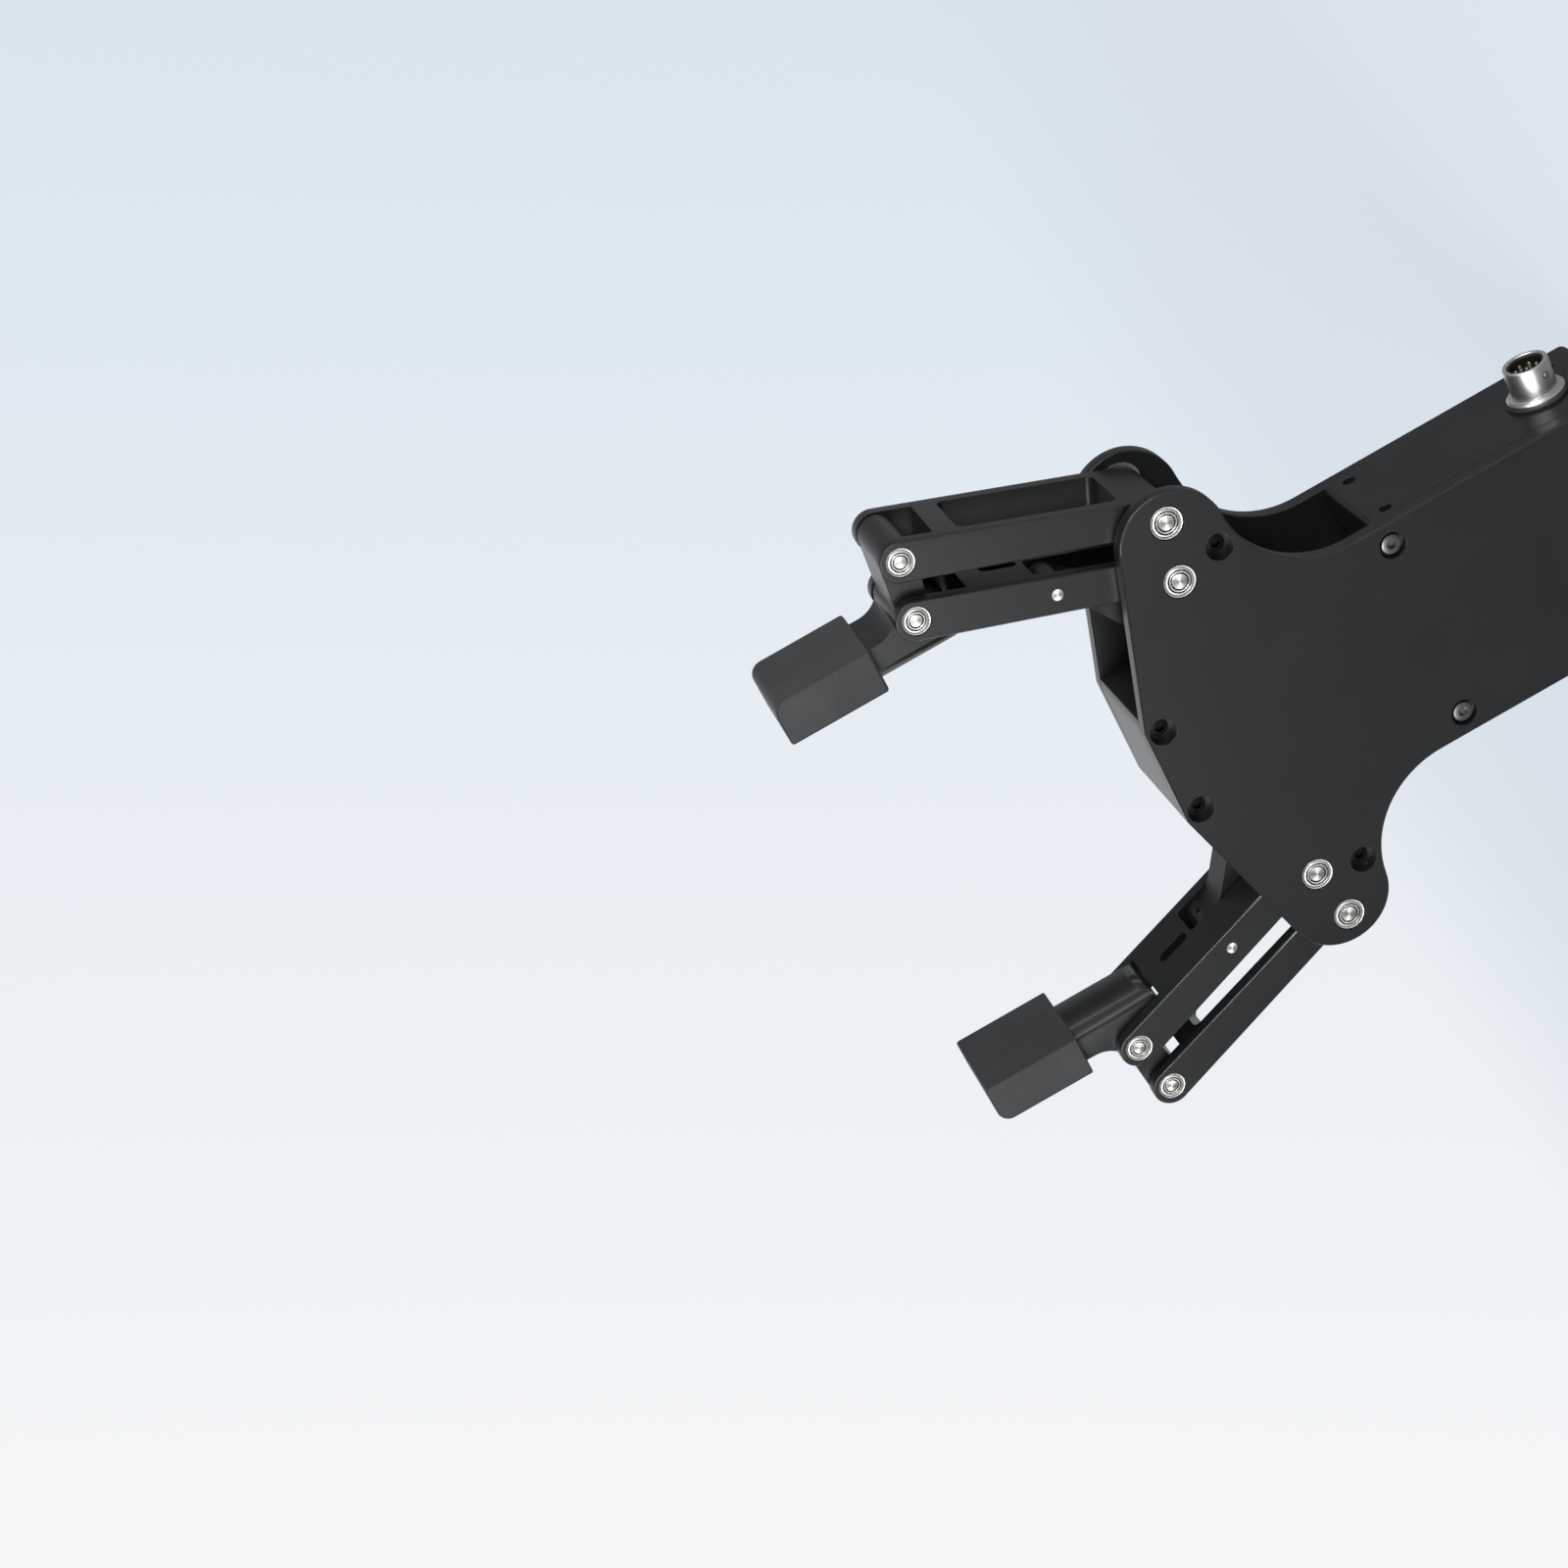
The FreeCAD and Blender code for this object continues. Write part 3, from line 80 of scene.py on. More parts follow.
class Mirrored(Enum):
    """A pair that is told apart by the sign of a coordinate."""

    @property
    def label(self) -> str:
        """Prefix of this one's CAD nodes."""
        return self.name.lower()


class Side(Mirrored):
    """The two arms, by the sign of their x."""

    RIGHT = 1
    LEFT = -1


class Face(Mirrored):
    """The two cover plates, by the sign of their y."""

    FRONT = -1
    BACK = 1


class NodeSheet:
    """A node tree with short calls that add its nodes and join their sockets."""

    def __init__(self, tree: bpy.types.NodeTree) -> None:
        """Keep the node tree of a material, a world or a group."""
        self.tree = tree

    def add(self, kind: str, **values: object) -> Node:
        """Add one node.

        Args:
            kind: Blender's name of the node's type, without ShaderNode.
            values: properties of the node, such as its operation.

        Returns:
            The new node.
        """
        node = self.tree.nodes.new("ShaderNode" + kind)
        for name, value in values.items():
            setattr(node, name, value)
        return node

    def set(self, node: Node, **values: object) -> Node:
        """Set constants on a node's inputs.

        Args:
            node: the node.
            values: constants by the inputs' names, with underscores for spaces.

        Returns:
            The node.
        """
        for name, value in values.items():
            node.inputs[name.replace("_", " ")].default_value = value
        return node

    def join(self, start: Node, output: str | int, end: Node, entry: str | int) -> None:
        """Join an output of one node to an input of another, each by its name or number."""
        self.tree.links.new(start.outputs[output], end.inputs[entry])

    def group(self, tree: bpy.types.NodeTree, **values: object) -> Node:
        """Place a node group and set its constants.

        Args:
            tree: the shared effect.
            values: constants for its inputs.

        Returns:
            The group's node.
        """
        node = self.add("Group")
        node.node_tree = tree
        return self.set(node, **values)


class Effects:
    """Effects that several finishes share, each a node group that is built once."""

    pit_size = 0.45

    def __init__(self) -> None:
        """Build all groups."""
        self.grain = self._grain()
        self.tone = self._tone()
        self.wear_and_sheen = self._wear_and_sheen()
        self.rings = self._rings()

    @staticmethod
    def _open(name: str, inputs: dict[str, str], outputs: dict[str, str]) -> tuple[NodeSheet, Node, Node]:
        """Start a group with its sockets.

        Args:
            name: name of the group.
            inputs: kind of each input, by its name.
            outputs: kind of each output, by its name.

        Returns:
            The sheet and the nodes that hold the group's inputs and outputs.
        """
        tree = bpy.data.node_groups.new(name, "ShaderNodeTree")
        for way, sockets in (("INPUT", inputs), ("OUTPUT", outputs)):
            for label, kind in sockets.items():
                tree.interface.new_socket(name=label, in_out=way, socket_type="NodeSocket" + kind)
        return NodeSheet(tree), tree.nodes.new("NodeGroupInput"), tree.nodes.new("NodeGroupOutput")

    @staticmethod
    def _cloud(sheet: NodeSheet, given: Node, detail: float, roughness: float) -> Node:
        """Add noise that reads the group's Vector and Size.

        Args:
            sheet: sheet of the group.
            given: node that holds the group's inputs.
            detail: layers of finer noise.
            roughness: strength of each finer layer.

        Returns:
            The noise.
        """
        cloud = sheet.set(sheet.add("TexNoise"), Detail=detail, Roughness=roughness)
        sheet.join(given, "Vector", cloud, "Vector")
        sheet.join(given, "Size", cloud, "Scale")
        return cloud

    def _grain(self) -> bpy.types.NodeTree:
        """Bead-blasted or moulded grain: a height made of noise and coarser pits.

        Returns:
            The group.
        """
        sheet, given, out = self._open(
            "fine_grain", {"Vector": "Vector", "Size": "Float", "Coarse": "Float"}, {"Height": "Float"})
        fine = self._cloud(sheet, given, 2.0, 0.6)
        pits = sheet.add("TexVoronoi", feature="F1")
        smaller = sheet.add("Math", operation="MULTIPLY")
        smaller.inputs[1].default_value = self.pit_size
        mix = sheet.add("Mix", data_type="FLOAT")
        sheet.join(given, "Vector", pits, "Vector")
        sheet.join(given, "Size", smaller, 0)
        sheet.join(smaller, 0, pits, "Scale")
        sheet.join(given, "Coarse", mix, "Factor")
        sheet.join(fine, "Fac", mix, "A")
        sheet.join(pits, "Distance", mix, "B")
        sheet.join(mix, "Result", out, "Height")
        return sheet.tree

    def _tone(self) -> bpy.types.NodeTree:
        """Slow drift between two colours, and its mask.

        Returns:
            The group.
        """
        sheet, given, out = self._open(
            "slow_tone", {"Vector": "Vector", "Light": "Color", "Dark": "Color", "Size": "Float"},
            {"Color": "Color", "Mask": "Float"})
        cloud = self._cloud(sheet, given, 5.0, 0.62)
        spread = sheet.set(sheet.add("MapRange"), From_Min=0.36, From_Max=0.64)
        mix = sheet.add("Mix", data_type="RGBA")
        sheet.join(cloud, "Fac", spread, "Value")
        sheet.join(spread, "Result", mix, "Factor")
        sheet.join(given, "Dark", mix, "A")
        sheet.join(given, "Light", mix, "B")
        sheet.join(mix, "Result", out, "Color")
        sheet.join(spread, "Result", out, "Mask")
        return sheet.tree

    def _wear_and_sheen(self) -> bpy.types.NodeTree:
        """Rubbed edges that also carry a painted highlight: the edge mask broken up by noise.

        Returns:
            The group.
        """
        sheet, given, out = self._open(
            "rubbed_edge", {"Vector": "Vector", "Edge": "Float", "Size": "Float", "Amount": "Float"},
            {"Mask": "Float"})
        patch = self._cloud(sheet, given, 4.0, 0.6)
        spread = sheet.set(sheet.add("MapRange"), From_Min=0.3, From_Max=0.7, To_Min=0.35, To_Max=1.0)
        scaled = sheet.add("Math", operation="MULTIPLY")
        masked = sheet.add("Math", operation="MULTIPLY", use_clamp=True)
        sheet.join(patch, "Fac", spread, "Value")
        sheet.join(spread, "Result", scaled, 0)
        sheet.join(given, "Amount", scaled, 1)
        sheet.join(scaled, 0, masked, 0)
        sheet.join(given, "Edge", masked, 1)
        sheet.join(masked, 0, out, "Mask")
        return sheet.tree

    def _rings(self) -> bpy.types.NodeTree:
        """Turning marks: fine rings along V of a turned piece's own UV map.

        Returns:
            The group.
        """
        sheet, given, out = self._open("turning_marks", {"UV": "Vector", "Rings": "Float"},
                                       {"Height": "Float"})
        parts = sheet.add("SeparateXYZ")
        scaled = sheet.add("Math", operation="MULTIPLY")
        noise = sheet.add("TexNoise", noise_dimensions="1D")
        sheet.set(noise, Scale=1.0, Detail=3.0, Roughness=0.7)
        sheet.join(given, "UV", parts, "Vector")
        sheet.join(parts, "Y", scaled, 0)
        sheet.join(given, "Rings", scaled, 1)
        sheet.join(scaled, 0, noise, "W")
        sheet.join(noise, "Fac", out, "Height")
        return sheet.tree


def start_material(name: str) -> tuple[NodeSheet, Node, bpy.types.Material]:
    """Start a material with one Principled shader.

    Args:
        name: name of the material.

    Returns:
        Its sheet, its shader and the material.
    """
    material = bpy.data.materials.new(name)
    material.use_nodes = True
    return NodeSheet(material.node_tree), material.node_tree.nodes["Principled BSDF"], material


def stand(name: str, data: bpy.types.ID) -> bpy.types.Object:
    """Put a mesh, a lamp or a camera in the scene.

    Args:
        name: name of the object.
        data: what it shows.

    Returns:
        The object.
    """
    thing = bpy.data.objects.new(name, data)
    bpy.context.scene.collection.objects.link(thing)
    return thing


def surface(sheet: NodeSheet, shader: Node, colour: tuple[Node, str], mask: tuple[Node, str],
            rough: tuple[float, float], relief: tuple[Node, float, float]) -> None:
    """Feed a shader its colour, its roughness and its relief.

    Args:
        sheet: sheet of the material.
        shader: the Principled shader.
        colour: node and output that give the colour.
        mask: node and output that give the mask for the roughness.
        rough: roughness where the mask is 0 and where it is 1.
        relief: node that gives the height, its depth in millimetres and the Bump node's strength.
    """
    source, depth, strength = relief
    spread = sheet.set(sheet.add("MapRange"), To_Min=rough[0], To_Max=rough[1])
    bump = sheet.set(sheet.add("Bump"), Strength=strength, Distance=depth * MM)
    sheet.join(*colour, shader, "Base Color")
    sheet.join(*mask, spread, "Value")
    sheet.join(spread, "Result", shader, "Roughness")
    sheet.join(source, "Height", bump, "Height")
    sheet.join(bump, "Normal", shader, "Normal")


@dataclass(frozen=True)
class CoatedFinish:
    """Anodised or oxide-coated metal: matte skin with fine grain, and rubbed edges painted lighter, partly
    as wear and partly as a painted edge highlight.
    """

    name: str
    light: Colour
    dark: Colour
    edge: Colour
    roughness: float
    edge_roughness: float
    specular: float
    tone_size: float = 55.0
    grain: float = 7000.0
    coarse: float = 0.35
    grain_depth: float = 0.006
    grain_strength: float = 0.35
    wear_and_sheen: float = 0.5
    wear_and_sheen_size: float = 350.0

    def build(self, effects: Effects) -> bpy.types.Material:
        """Make the material.

        Args:
            effects: the shared node groups.

        Returns:
            The material.
        """
        sheet, shader, material = start_material(self.name)
        sheet.set(shader, Specular_IOR_Level=self.specular)
        place = sheet.add("TexCoord")
        mask = sheet.add("Attribute", attribute_name="edge")
        tone = sheet.group(effects.tone, Light=(*self.light, 1.0), Dark=(*self.dark, 1.0),
                           Size=self.tone_size)
        wear_and_sheen = sheet.group(effects.wear_and_sheen, Size=self.wear_and_sheen_size, Amount=self.wear_and_sheen)
        grain = sheet.group(effects.grain, Size=self.grain, Coarse=self.coarse)
        # Edge colour: broken edges and chamfers painted lighter than the skin, partly as rubbed wear and
        # partly as a painted edge highlight.
        colour = sheet.add("Mix", data_type="RGBA")
        colour.inputs["B"].default_value = (*self.edge, 1.0)
        for node in (tone, wear_and_sheen, grain):
            sheet.join(place, "Object", node, "Vector")
        sheet.join(mask, "Fac", wear_and_sheen, "Edge")
        sheet.join(tone, "Color", colour, "A")
        sheet.join(wear_and_sheen, "Mask", colour, "Factor")
        surface(sheet, shader, (colour, "Result"), (wear_and_sheen, "Mask"), (self.roughness, self.edge_roughness),
                (grain, self.grain_depth, self.grain_strength))
        return material


@dataclass(frozen=True)
class MetalFinish:
    """Bare or plated metal with a slow tone, which its roughness follows, and a fine grain."""

    name: str
    light: Colour
    dark: Colour
    roughness: float = 0.3
    rougher_dark: float = 0.1
    smoother_light: float = 0.0
    metallic: float = 1.0
    specular: float = 0.5
    sheen: float = 0.0
    tone_size: float = 300.0
    grain: float = 4000.0
    coarse: float = 0.2
    grain_depth: float = 0.002
    grain_strength: float = 0.3

    def build(self, effects: Effects) -> bpy.types.Material:
        """Make the material.

        Args:
            effects: the shared node groups.

        Returns:
            The material.
        """
        sheet, shader, material = start_material(self.name)
        sheet.set(shader, Metallic=self.metallic, Specular_IOR_Level=self.specular,
                  Sheen_Weight=self.sheen)
        place = sheet.add("TexCoord")
        tone = sheet.group(effects.tone, Light=(*self.light, 1.0), Dark=(*self.dark, 1.0),
                           Size=self.tone_size)
        grain = sheet.group(effects.grain, Size=self.grain, Coarse=self.coarse)
        for node in (tone, grain):
            sheet.join(place, "Object", node, "Vector")
        surface(sheet, shader, (tone, "Color"), (tone, "Mask"),
                (self.roughness + self.rougher_dark, self.roughness - self.smoother_light),
                (grain, self.grain_depth, self.grain_strength))
        return material


@dataclass(frozen=True)
class SoftFinish(MetalFinish):
    """Moulded rubber or plastic, built as the metal is, with a coarser grain."""

    roughness: float = 0.7
    rougher_dark: float = 0.0
    smoother_light: float = 0.08
    metallic: float = 0.0
    specular: float = 0.35
    tone_size: float = 90.0
    grain: float = 5000.0
    coarse: float = 0.6
    grain_depth: float = 0.012
    grain_strength: float = 0.4


@dataclass(frozen=True)
class TurnedFinish:
    """Turned or ground metal with rings round the piece's own axis."""

    name: str
    light: Colour
    dark: Colour
    roughness: float
    anisotropy: float
    rings: float = 60.0
    rougher_marks: float = 0.14
    tone_size: float = 500.0
    mark_depth: float = 0.01
    mark_strength: float = 0.25

    def build(self, effects: Effects) -> bpy.types.Material:
        """Make the material.

        Args:
            effects: the shared node groups.

        Returns:
            The material.
        """
        sheet, shader, material = start_material(self.name)
        sheet.set(shader, Metallic=1.0, Anisotropic=self.anisotropy)
        lathe = sheet.add("UVMap", uv_map="lathe")
        tangent = sheet.add("Tangent", direction_type="UV_MAP", uv_map="lathe")
        tone = sheet.group(effects.tone, Light=(*self.light, 1.0), Dark=(*self.dark, 1.0),
                           Size=self.tone_size)
        marks = sheet.group(effects.rings, Rings=self.rings)
        sheet.join(sheet.add("TexCoord"), "Object", tone, "Vector")
        sheet.join(lathe, "UV", marks, "UV")
        sheet.join(tangent, "Tangent", shader, "Tangent")
        surface(sheet, shader, (tone, "Color"), (marks, "Height"),
                (self.roughness, self.roughness + self.rougher_marks),
                (marks, self.mark_depth, self.mark_strength))
        return material


class Look(Enum):
    """Every finish of the gripper."""

    # The third colour of a coated finish is its edge colour: lighter than the skin, partly wear and partly
    # a painted edge highlight.
    ANODISED = CoatedFinish("black_anodised", (0.011, 0.0122, 0.0122), (0.0085, 0.0095, 0.0098),
                            (0.045, 0.046, 0.047), roughness=0.34, edge_roughness=0.2, specular=0.45)
    # Deep screw heads: black oxide, painted darker still as painted shade of their deep counterbores.
    OXIDE = CoatedFinish("black_oxide", (0.004, 0.004, 0.0045), (0.0025, 0.0025, 0.003),
                         (0.02, 0.02, 0.02), roughness=0.4, edge_roughness=0.3,
                         grain=9000.0, grain_depth=0.003, wear_and_sheen=0.7, specular=0.12)
    WORN_STEEL = MetalFinish("worn_steel", (0.2, 0.2, 0.195), (0.13, 0.13, 0.125), roughness=0.34)
    TIP_RUBBER = SoftFinish("tip_rubber", (0.033, 0.034, 0.036), (0.026, 0.027, 0.029),
                            roughness=0.62, sheen=0.08)
    SEAL_RUBBER = SoftFinish("seal_rubber", (0.02, 0.02, 0.02), (0.014, 0.014, 0.014))
    INSERT = SoftFinish("insert_plastic", (0.011, 0.0105, 0.008), (0.007, 0.0068, 0.0055),
                        roughness=0.4, grain_depth=0.004)
    RING_STEEL = TurnedFinish("ring_steel", (0.74, 0.73, 0.7), (0.62, 0.61, 0.58),
                              roughness=0.36, anisotropy=0.4)
    SHAFT_STEEL = TurnedFinish("shaft_steel", (0.68, 0.67, 0.65), (0.6, 0.59, 0.57),
                               roughness=0.34, anisotropy=0.7)
    SHIELD = SoftFinish("bearing_shield", (0.012, 0.012, 0.012), (0.008, 0.008, 0.008))
    NICKEL = TurnedFinish("satin_nickel", (0.78, 0.77, 0.75), (0.7, 0.69, 0.67),
                          roughness=0.28, anisotropy=0.3, rings=40.0)
    GOLD = MetalFinish("contact_gold", (0.96, 0.88, 0.68), (0.9, 0.8, 0.56), roughness=0.3)
    BRONZE = MetalFinish("bronze", (0.66, 0.5, 0.28), (0.52, 0.37, 0.2), roughness=0.35)
    TOOL_STEEL = MetalFinish("tool_steel", (0.33, 0.33, 0.33), (0.25, 0.25, 0.25), roughness=0.38)
    MOTOR_STEEL = MetalFinish("motor_steel", (0.55, 0.55, 0.54), (0.42, 0.42, 0.41), roughness=0.32)
    BOARD = SoftFinish("board_mask", (0.012, 0.08, 0.035), (0.008, 0.05, 0.022),
                       roughness=0.35, grain_depth=0.003, specular=0.5)
    BOARD_PARTS = SoftFinish("board_parts", (0.03, 0.03, 0.032), (0.02, 0.02, 0.021), roughness=0.5)


@dataclass
class Workshop:
    """Turns bmeshes and CAD nodes into finished pieces that ride on their bodies."""

    frame: dict
    effects: Effects
    materials: dict[Look, bpy.types.Material] = field(default_factory=dict)
    broken_edge: float = 0.12
    edge_segments: int = 3
    sharp_deg: float = 40.0
    square_deg: float = 58.0
    flat_deg: float = 0.3
    weld: float = 0.002
    chamfer_lean: float = 0.02
    chamfer_width: float = 0.5

    def finish(self, mesh: bpy.types.Mesh, looks: list[Look]) -> None:
        """Give a mesh its materials, each of which is built when it is first asked for.

        Args:
            mesh: the mesh.
            looks: its finishes, in the order of the faces' material numbers.
        """
        for look in looks:
            if look not in self.materials:
                self.materials[look] = look.value.build(self.effects)
            mesh.materials.append(self.materials[look])

    def dress(self, node: str, look: Look) -> None:
        """Give a CAD node that stays its finish.

        Args:
            node: name of the CAD node.
            look: the finish.
        """
        mesh = self.frame["nodes"][node].data
        mesh.materials.clear()
        self.finish(mesh, [look])
        LOG.info("dressed %s", node)

    def body(self, node: str) -> str:
        """Name of the body that a CAD node rides on."""
        return next(name for name, nodes in self.frame["record"]["behaviour"]["bodies"].items()
                    if node in nodes)

    def piece(self, name: str, shape: Shape, looks: list[Look], node: str, slot: str) -> None:
        """Turn a bmesh in metres into a piece that stands for a CAD node.

        Args:
            name: name of the piece.
            shape: its bmesh, freed here.
            looks: finishes, in the order of the faces' material numbers.
            node: CAD node that it stands for, on whose body it rides.
            slot: material slot of the record; not used.
        """
        mesh = bpy.data.meshes.new(name)
        shape.to_mesh(mesh)
        shape.free()
        self.finish(mesh, looks)
        mesh.shade_smooth()
        mesh.set_sharp_from_angle(angle=math.radians(self.sharp_deg))
        piece = stand(name, mesh)
        weights = piece.modifiers.new("even_shading", "WEIGHTED_NORMAL")
        weights.keep_sharp = True
        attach(piece, self.body(node))
        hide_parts(node)
        LOG.info("built %s with %d faces", name, len(mesh.polygons))

    def machined(self, node: str, look: Look, slot: str, width: float | None = None) -> None:
        """Copy a CAD node's shape, break its square edges and stand in for it.

        Args:
            node: name of the CAD node.
            look: the finish.
            slot: material slot of the record.
            width: width of the broken edge, or None for the usual one.
        """
        shape = bmesh.new()
        shape.from_mesh(self.frame["nodes"][node].data)
        bmesh.ops.remove_doubles(shape, verts=shape.verts[:], dist=self.weld * MM)
        bmesh.ops.dissolve_limit(shape, angle_limit=math.radians(self.flat_deg),
                                 verts=shape.verts[:], edges=shape.edges[:])
        # Broken edges and 45° chamfers facing ±y get this mask, which the coated finish paints lighter,
        # partly as wear and partly as a painted edge highlight.
        wear_and_sheen_mask = shape.faces.layers.float.new("edge")
        least = math.radians(self.square_deg)
        square = [edge for edge in shape.edges
                  if len(edge.link_faces) == 2 and edge.calc_face_angle(0.0) > least]
        broken = bmesh.ops.bevel(shape, geom=square, offset=(width or self.broken_edge) * MM,
                                 offset_type="OFFSET", segments=self.edge_segments, profile=0.5,
                                 affect="EDGES", clamp_overlap=True, material=-1)
        for face in broken["faces"]:
            face[wear_and_sheen_mask] = 1.0
        for face in shape.faces:
            lean = abs(abs(face.normal.y) - math.sqrt(0.5))
            across = 2 * face.calc_area() / face.calc_perimeter()
            if lean < self.chamfer_lean and across < self.chamfer_width * MM:
                face[wear_and_sheen_mask] = 1.0
        self.piece(node + "_body", shape, [look], node, slot)


def turned(profile: list[Point], centre: Place, axis: Vector, steps: int = 64) -> Shape:
    """Spin a profile round an axis, with a UV map for turning marks.

    Args:
        profile: (radius, distance along the axis) points in millimetres. A radius of 0
            closes the end with a pole.
        centre: point on the axis in millimetres.
        axis: direction of the axis.
        steps: number of steps of the full turn.

    Returns:
        A closed bmesh in metres.
    """
    shape = bmesh.new()
    side = axis.orthogonal().normalized()
    origin = Vector(centre) * MM
    points = [shape.verts.new(origin + side * radius * MM + axis * along * MM)
              for radius, along in profile]
    edges = [shape.edges.new(pair) for pair in zip(points, points[1:])]
    if profile[0][0] > 0 and profile[-1][0] > 0:
        edges.append(shape.edges.new((points[-1], points[0])))
    bmesh.ops.spin(shape, geom=points + edges, cent=origin, axis=axis, angle=math.tau,
                   steps=steps, use_merge=True)
    bmesh.ops.remove_doubles(shape, verts=shape.verts[:], dist=1e-7)
    bmesh.ops.recalc_face_normals(shape, faces=shape.faces[:])
    lathe_map(shape, origin, axis, side)
    return shape


def lathe_map(shape: Shape, origin: Vector, axis: Vector, side: Vector) -> None:
    """Give a turned shape a UV map: U round the axis, V along its outline.

    V grows by 1 over LATHE_SPAN millimetres of radius, and LATHE_SLOPE is its share along the axis.

    Args:
        shape: the shape, in metres.
        origin: point on the axis, in metres.
        axis: direction of the axis.
        side: direction from which the turn is counted.
    """
    across = axis.cross(side)
    layer = shape.loops.layers.uv.get("lathe") or shape.loops.layers.uv.new("lathe")
    for face in shape.faces:
        middle = face.calc_center_median() - origin
        home = math.atan2(middle.dot(across), middle.dot(side))
        for loop in face.loops:
            arm = loop.vert.co - origin
            flat = arm - axis * arm.dot(axis)
            turn = math.atan2(flat.dot(across), flat.dot(side)) if flat.length > 1e-7 else home
            turn = home + (turn - home + math.pi) % math.tau - math.pi
            outline = flat.length + arm.dot(axis) * LATHE_SLOPE
            loop[layer].uv = (turn / math.tau, outline / MM / LATHE_SPAN)


def merged(parts: Iterable[Shape], numbers: Iterable[int] | None = None) -> Shape:
    """Put several shapes in one bmesh.

    Args:
        parts: shapes, freed here.
        numbers: material number for each shape, or None to keep theirs.

    Returns:
        The joined shape.
    """
    parts = list(parts)
    numbers = list(numbers) if numbers is not None else [None] * len(parts)
    whole = bmesh.new()
    for part, number in zip(parts, numbers):
        if number is not None:
            for face in part.faces:
                face.material_index = number
        mesh = bpy.data.meshes.new("part")
        part.to_mesh(mesh)
        part.free()
        whole.from_mesh(mesh)
        bpy.data.meshes.remove(mesh)
    return whole


@dataclass
class PhotoCamera:
    """Camera of the large view in the photograph."""

    azimuth: float = 26.48831
    elevation: float = 0.54018
    roll: float = -119.66574
    offset: Place = (70.643, 13.4107, 474.3099)
    pivot_height: float = 73.5
    focal_px: float = 3082.526
    frame_px: float = 1600.0
    sensor: float = 36.0
    clip: tuple[float, float] = (0.01, 20.0)

    def axes(self) -> tuple[Vector, Vector, Vector]:
        """Directions of the picture's right, its up and the view.

        Returns:
            Three unit vectors.
        """
        azimuth, elevation = math.radians(self.azimuth), math.radians(self.elevation)
        roll = math.radians(self.roll)
        ahead = Vector((-math.sin(azimuth) * math.cos(elevation),
                        math.cos(azimuth) * math.cos(elevation), -math.sin(elevation)))
        right = Vector((math.cos(azimuth), math.sin(azimuth), 0.0))
        up = right.cross(ahead)
        return (right * math.cos(roll) + up * math.sin(roll),
                up * math.cos(roll) - right * math.sin(roll), ahead)

    def place(self) -> None:
        """Add the camera to the scene."""
        right, up, ahead = self.axes()
        x, y, z = self.offset
        spot = (Vector((0.0, 0.0, self.pivot_height)) - right * x - up * y - ahead * z) * MM
        data = bpy.data.cameras.new("photo_camera")
        data.sensor_width = self.sensor
        data.lens = self.focal_px / self.frame_px * self.sensor
        data.clip_start, data.clip_end = self.clip
        camera = stand("photo_camera", data)
        camera.matrix_world = Matrix.Translation(spot) @ Matrix((right, up, -ahead)).transposed().to_4x4()
        bpy.context.scene.camera = camera


@dataclass(frozen=True)
class Lamp:
    """One round soft light: where it stands in the picture, its size in metres and its power."""

    name: str
    way: Place
    size: float
    power: float
    colour: Colour
    distance: float = 0.9


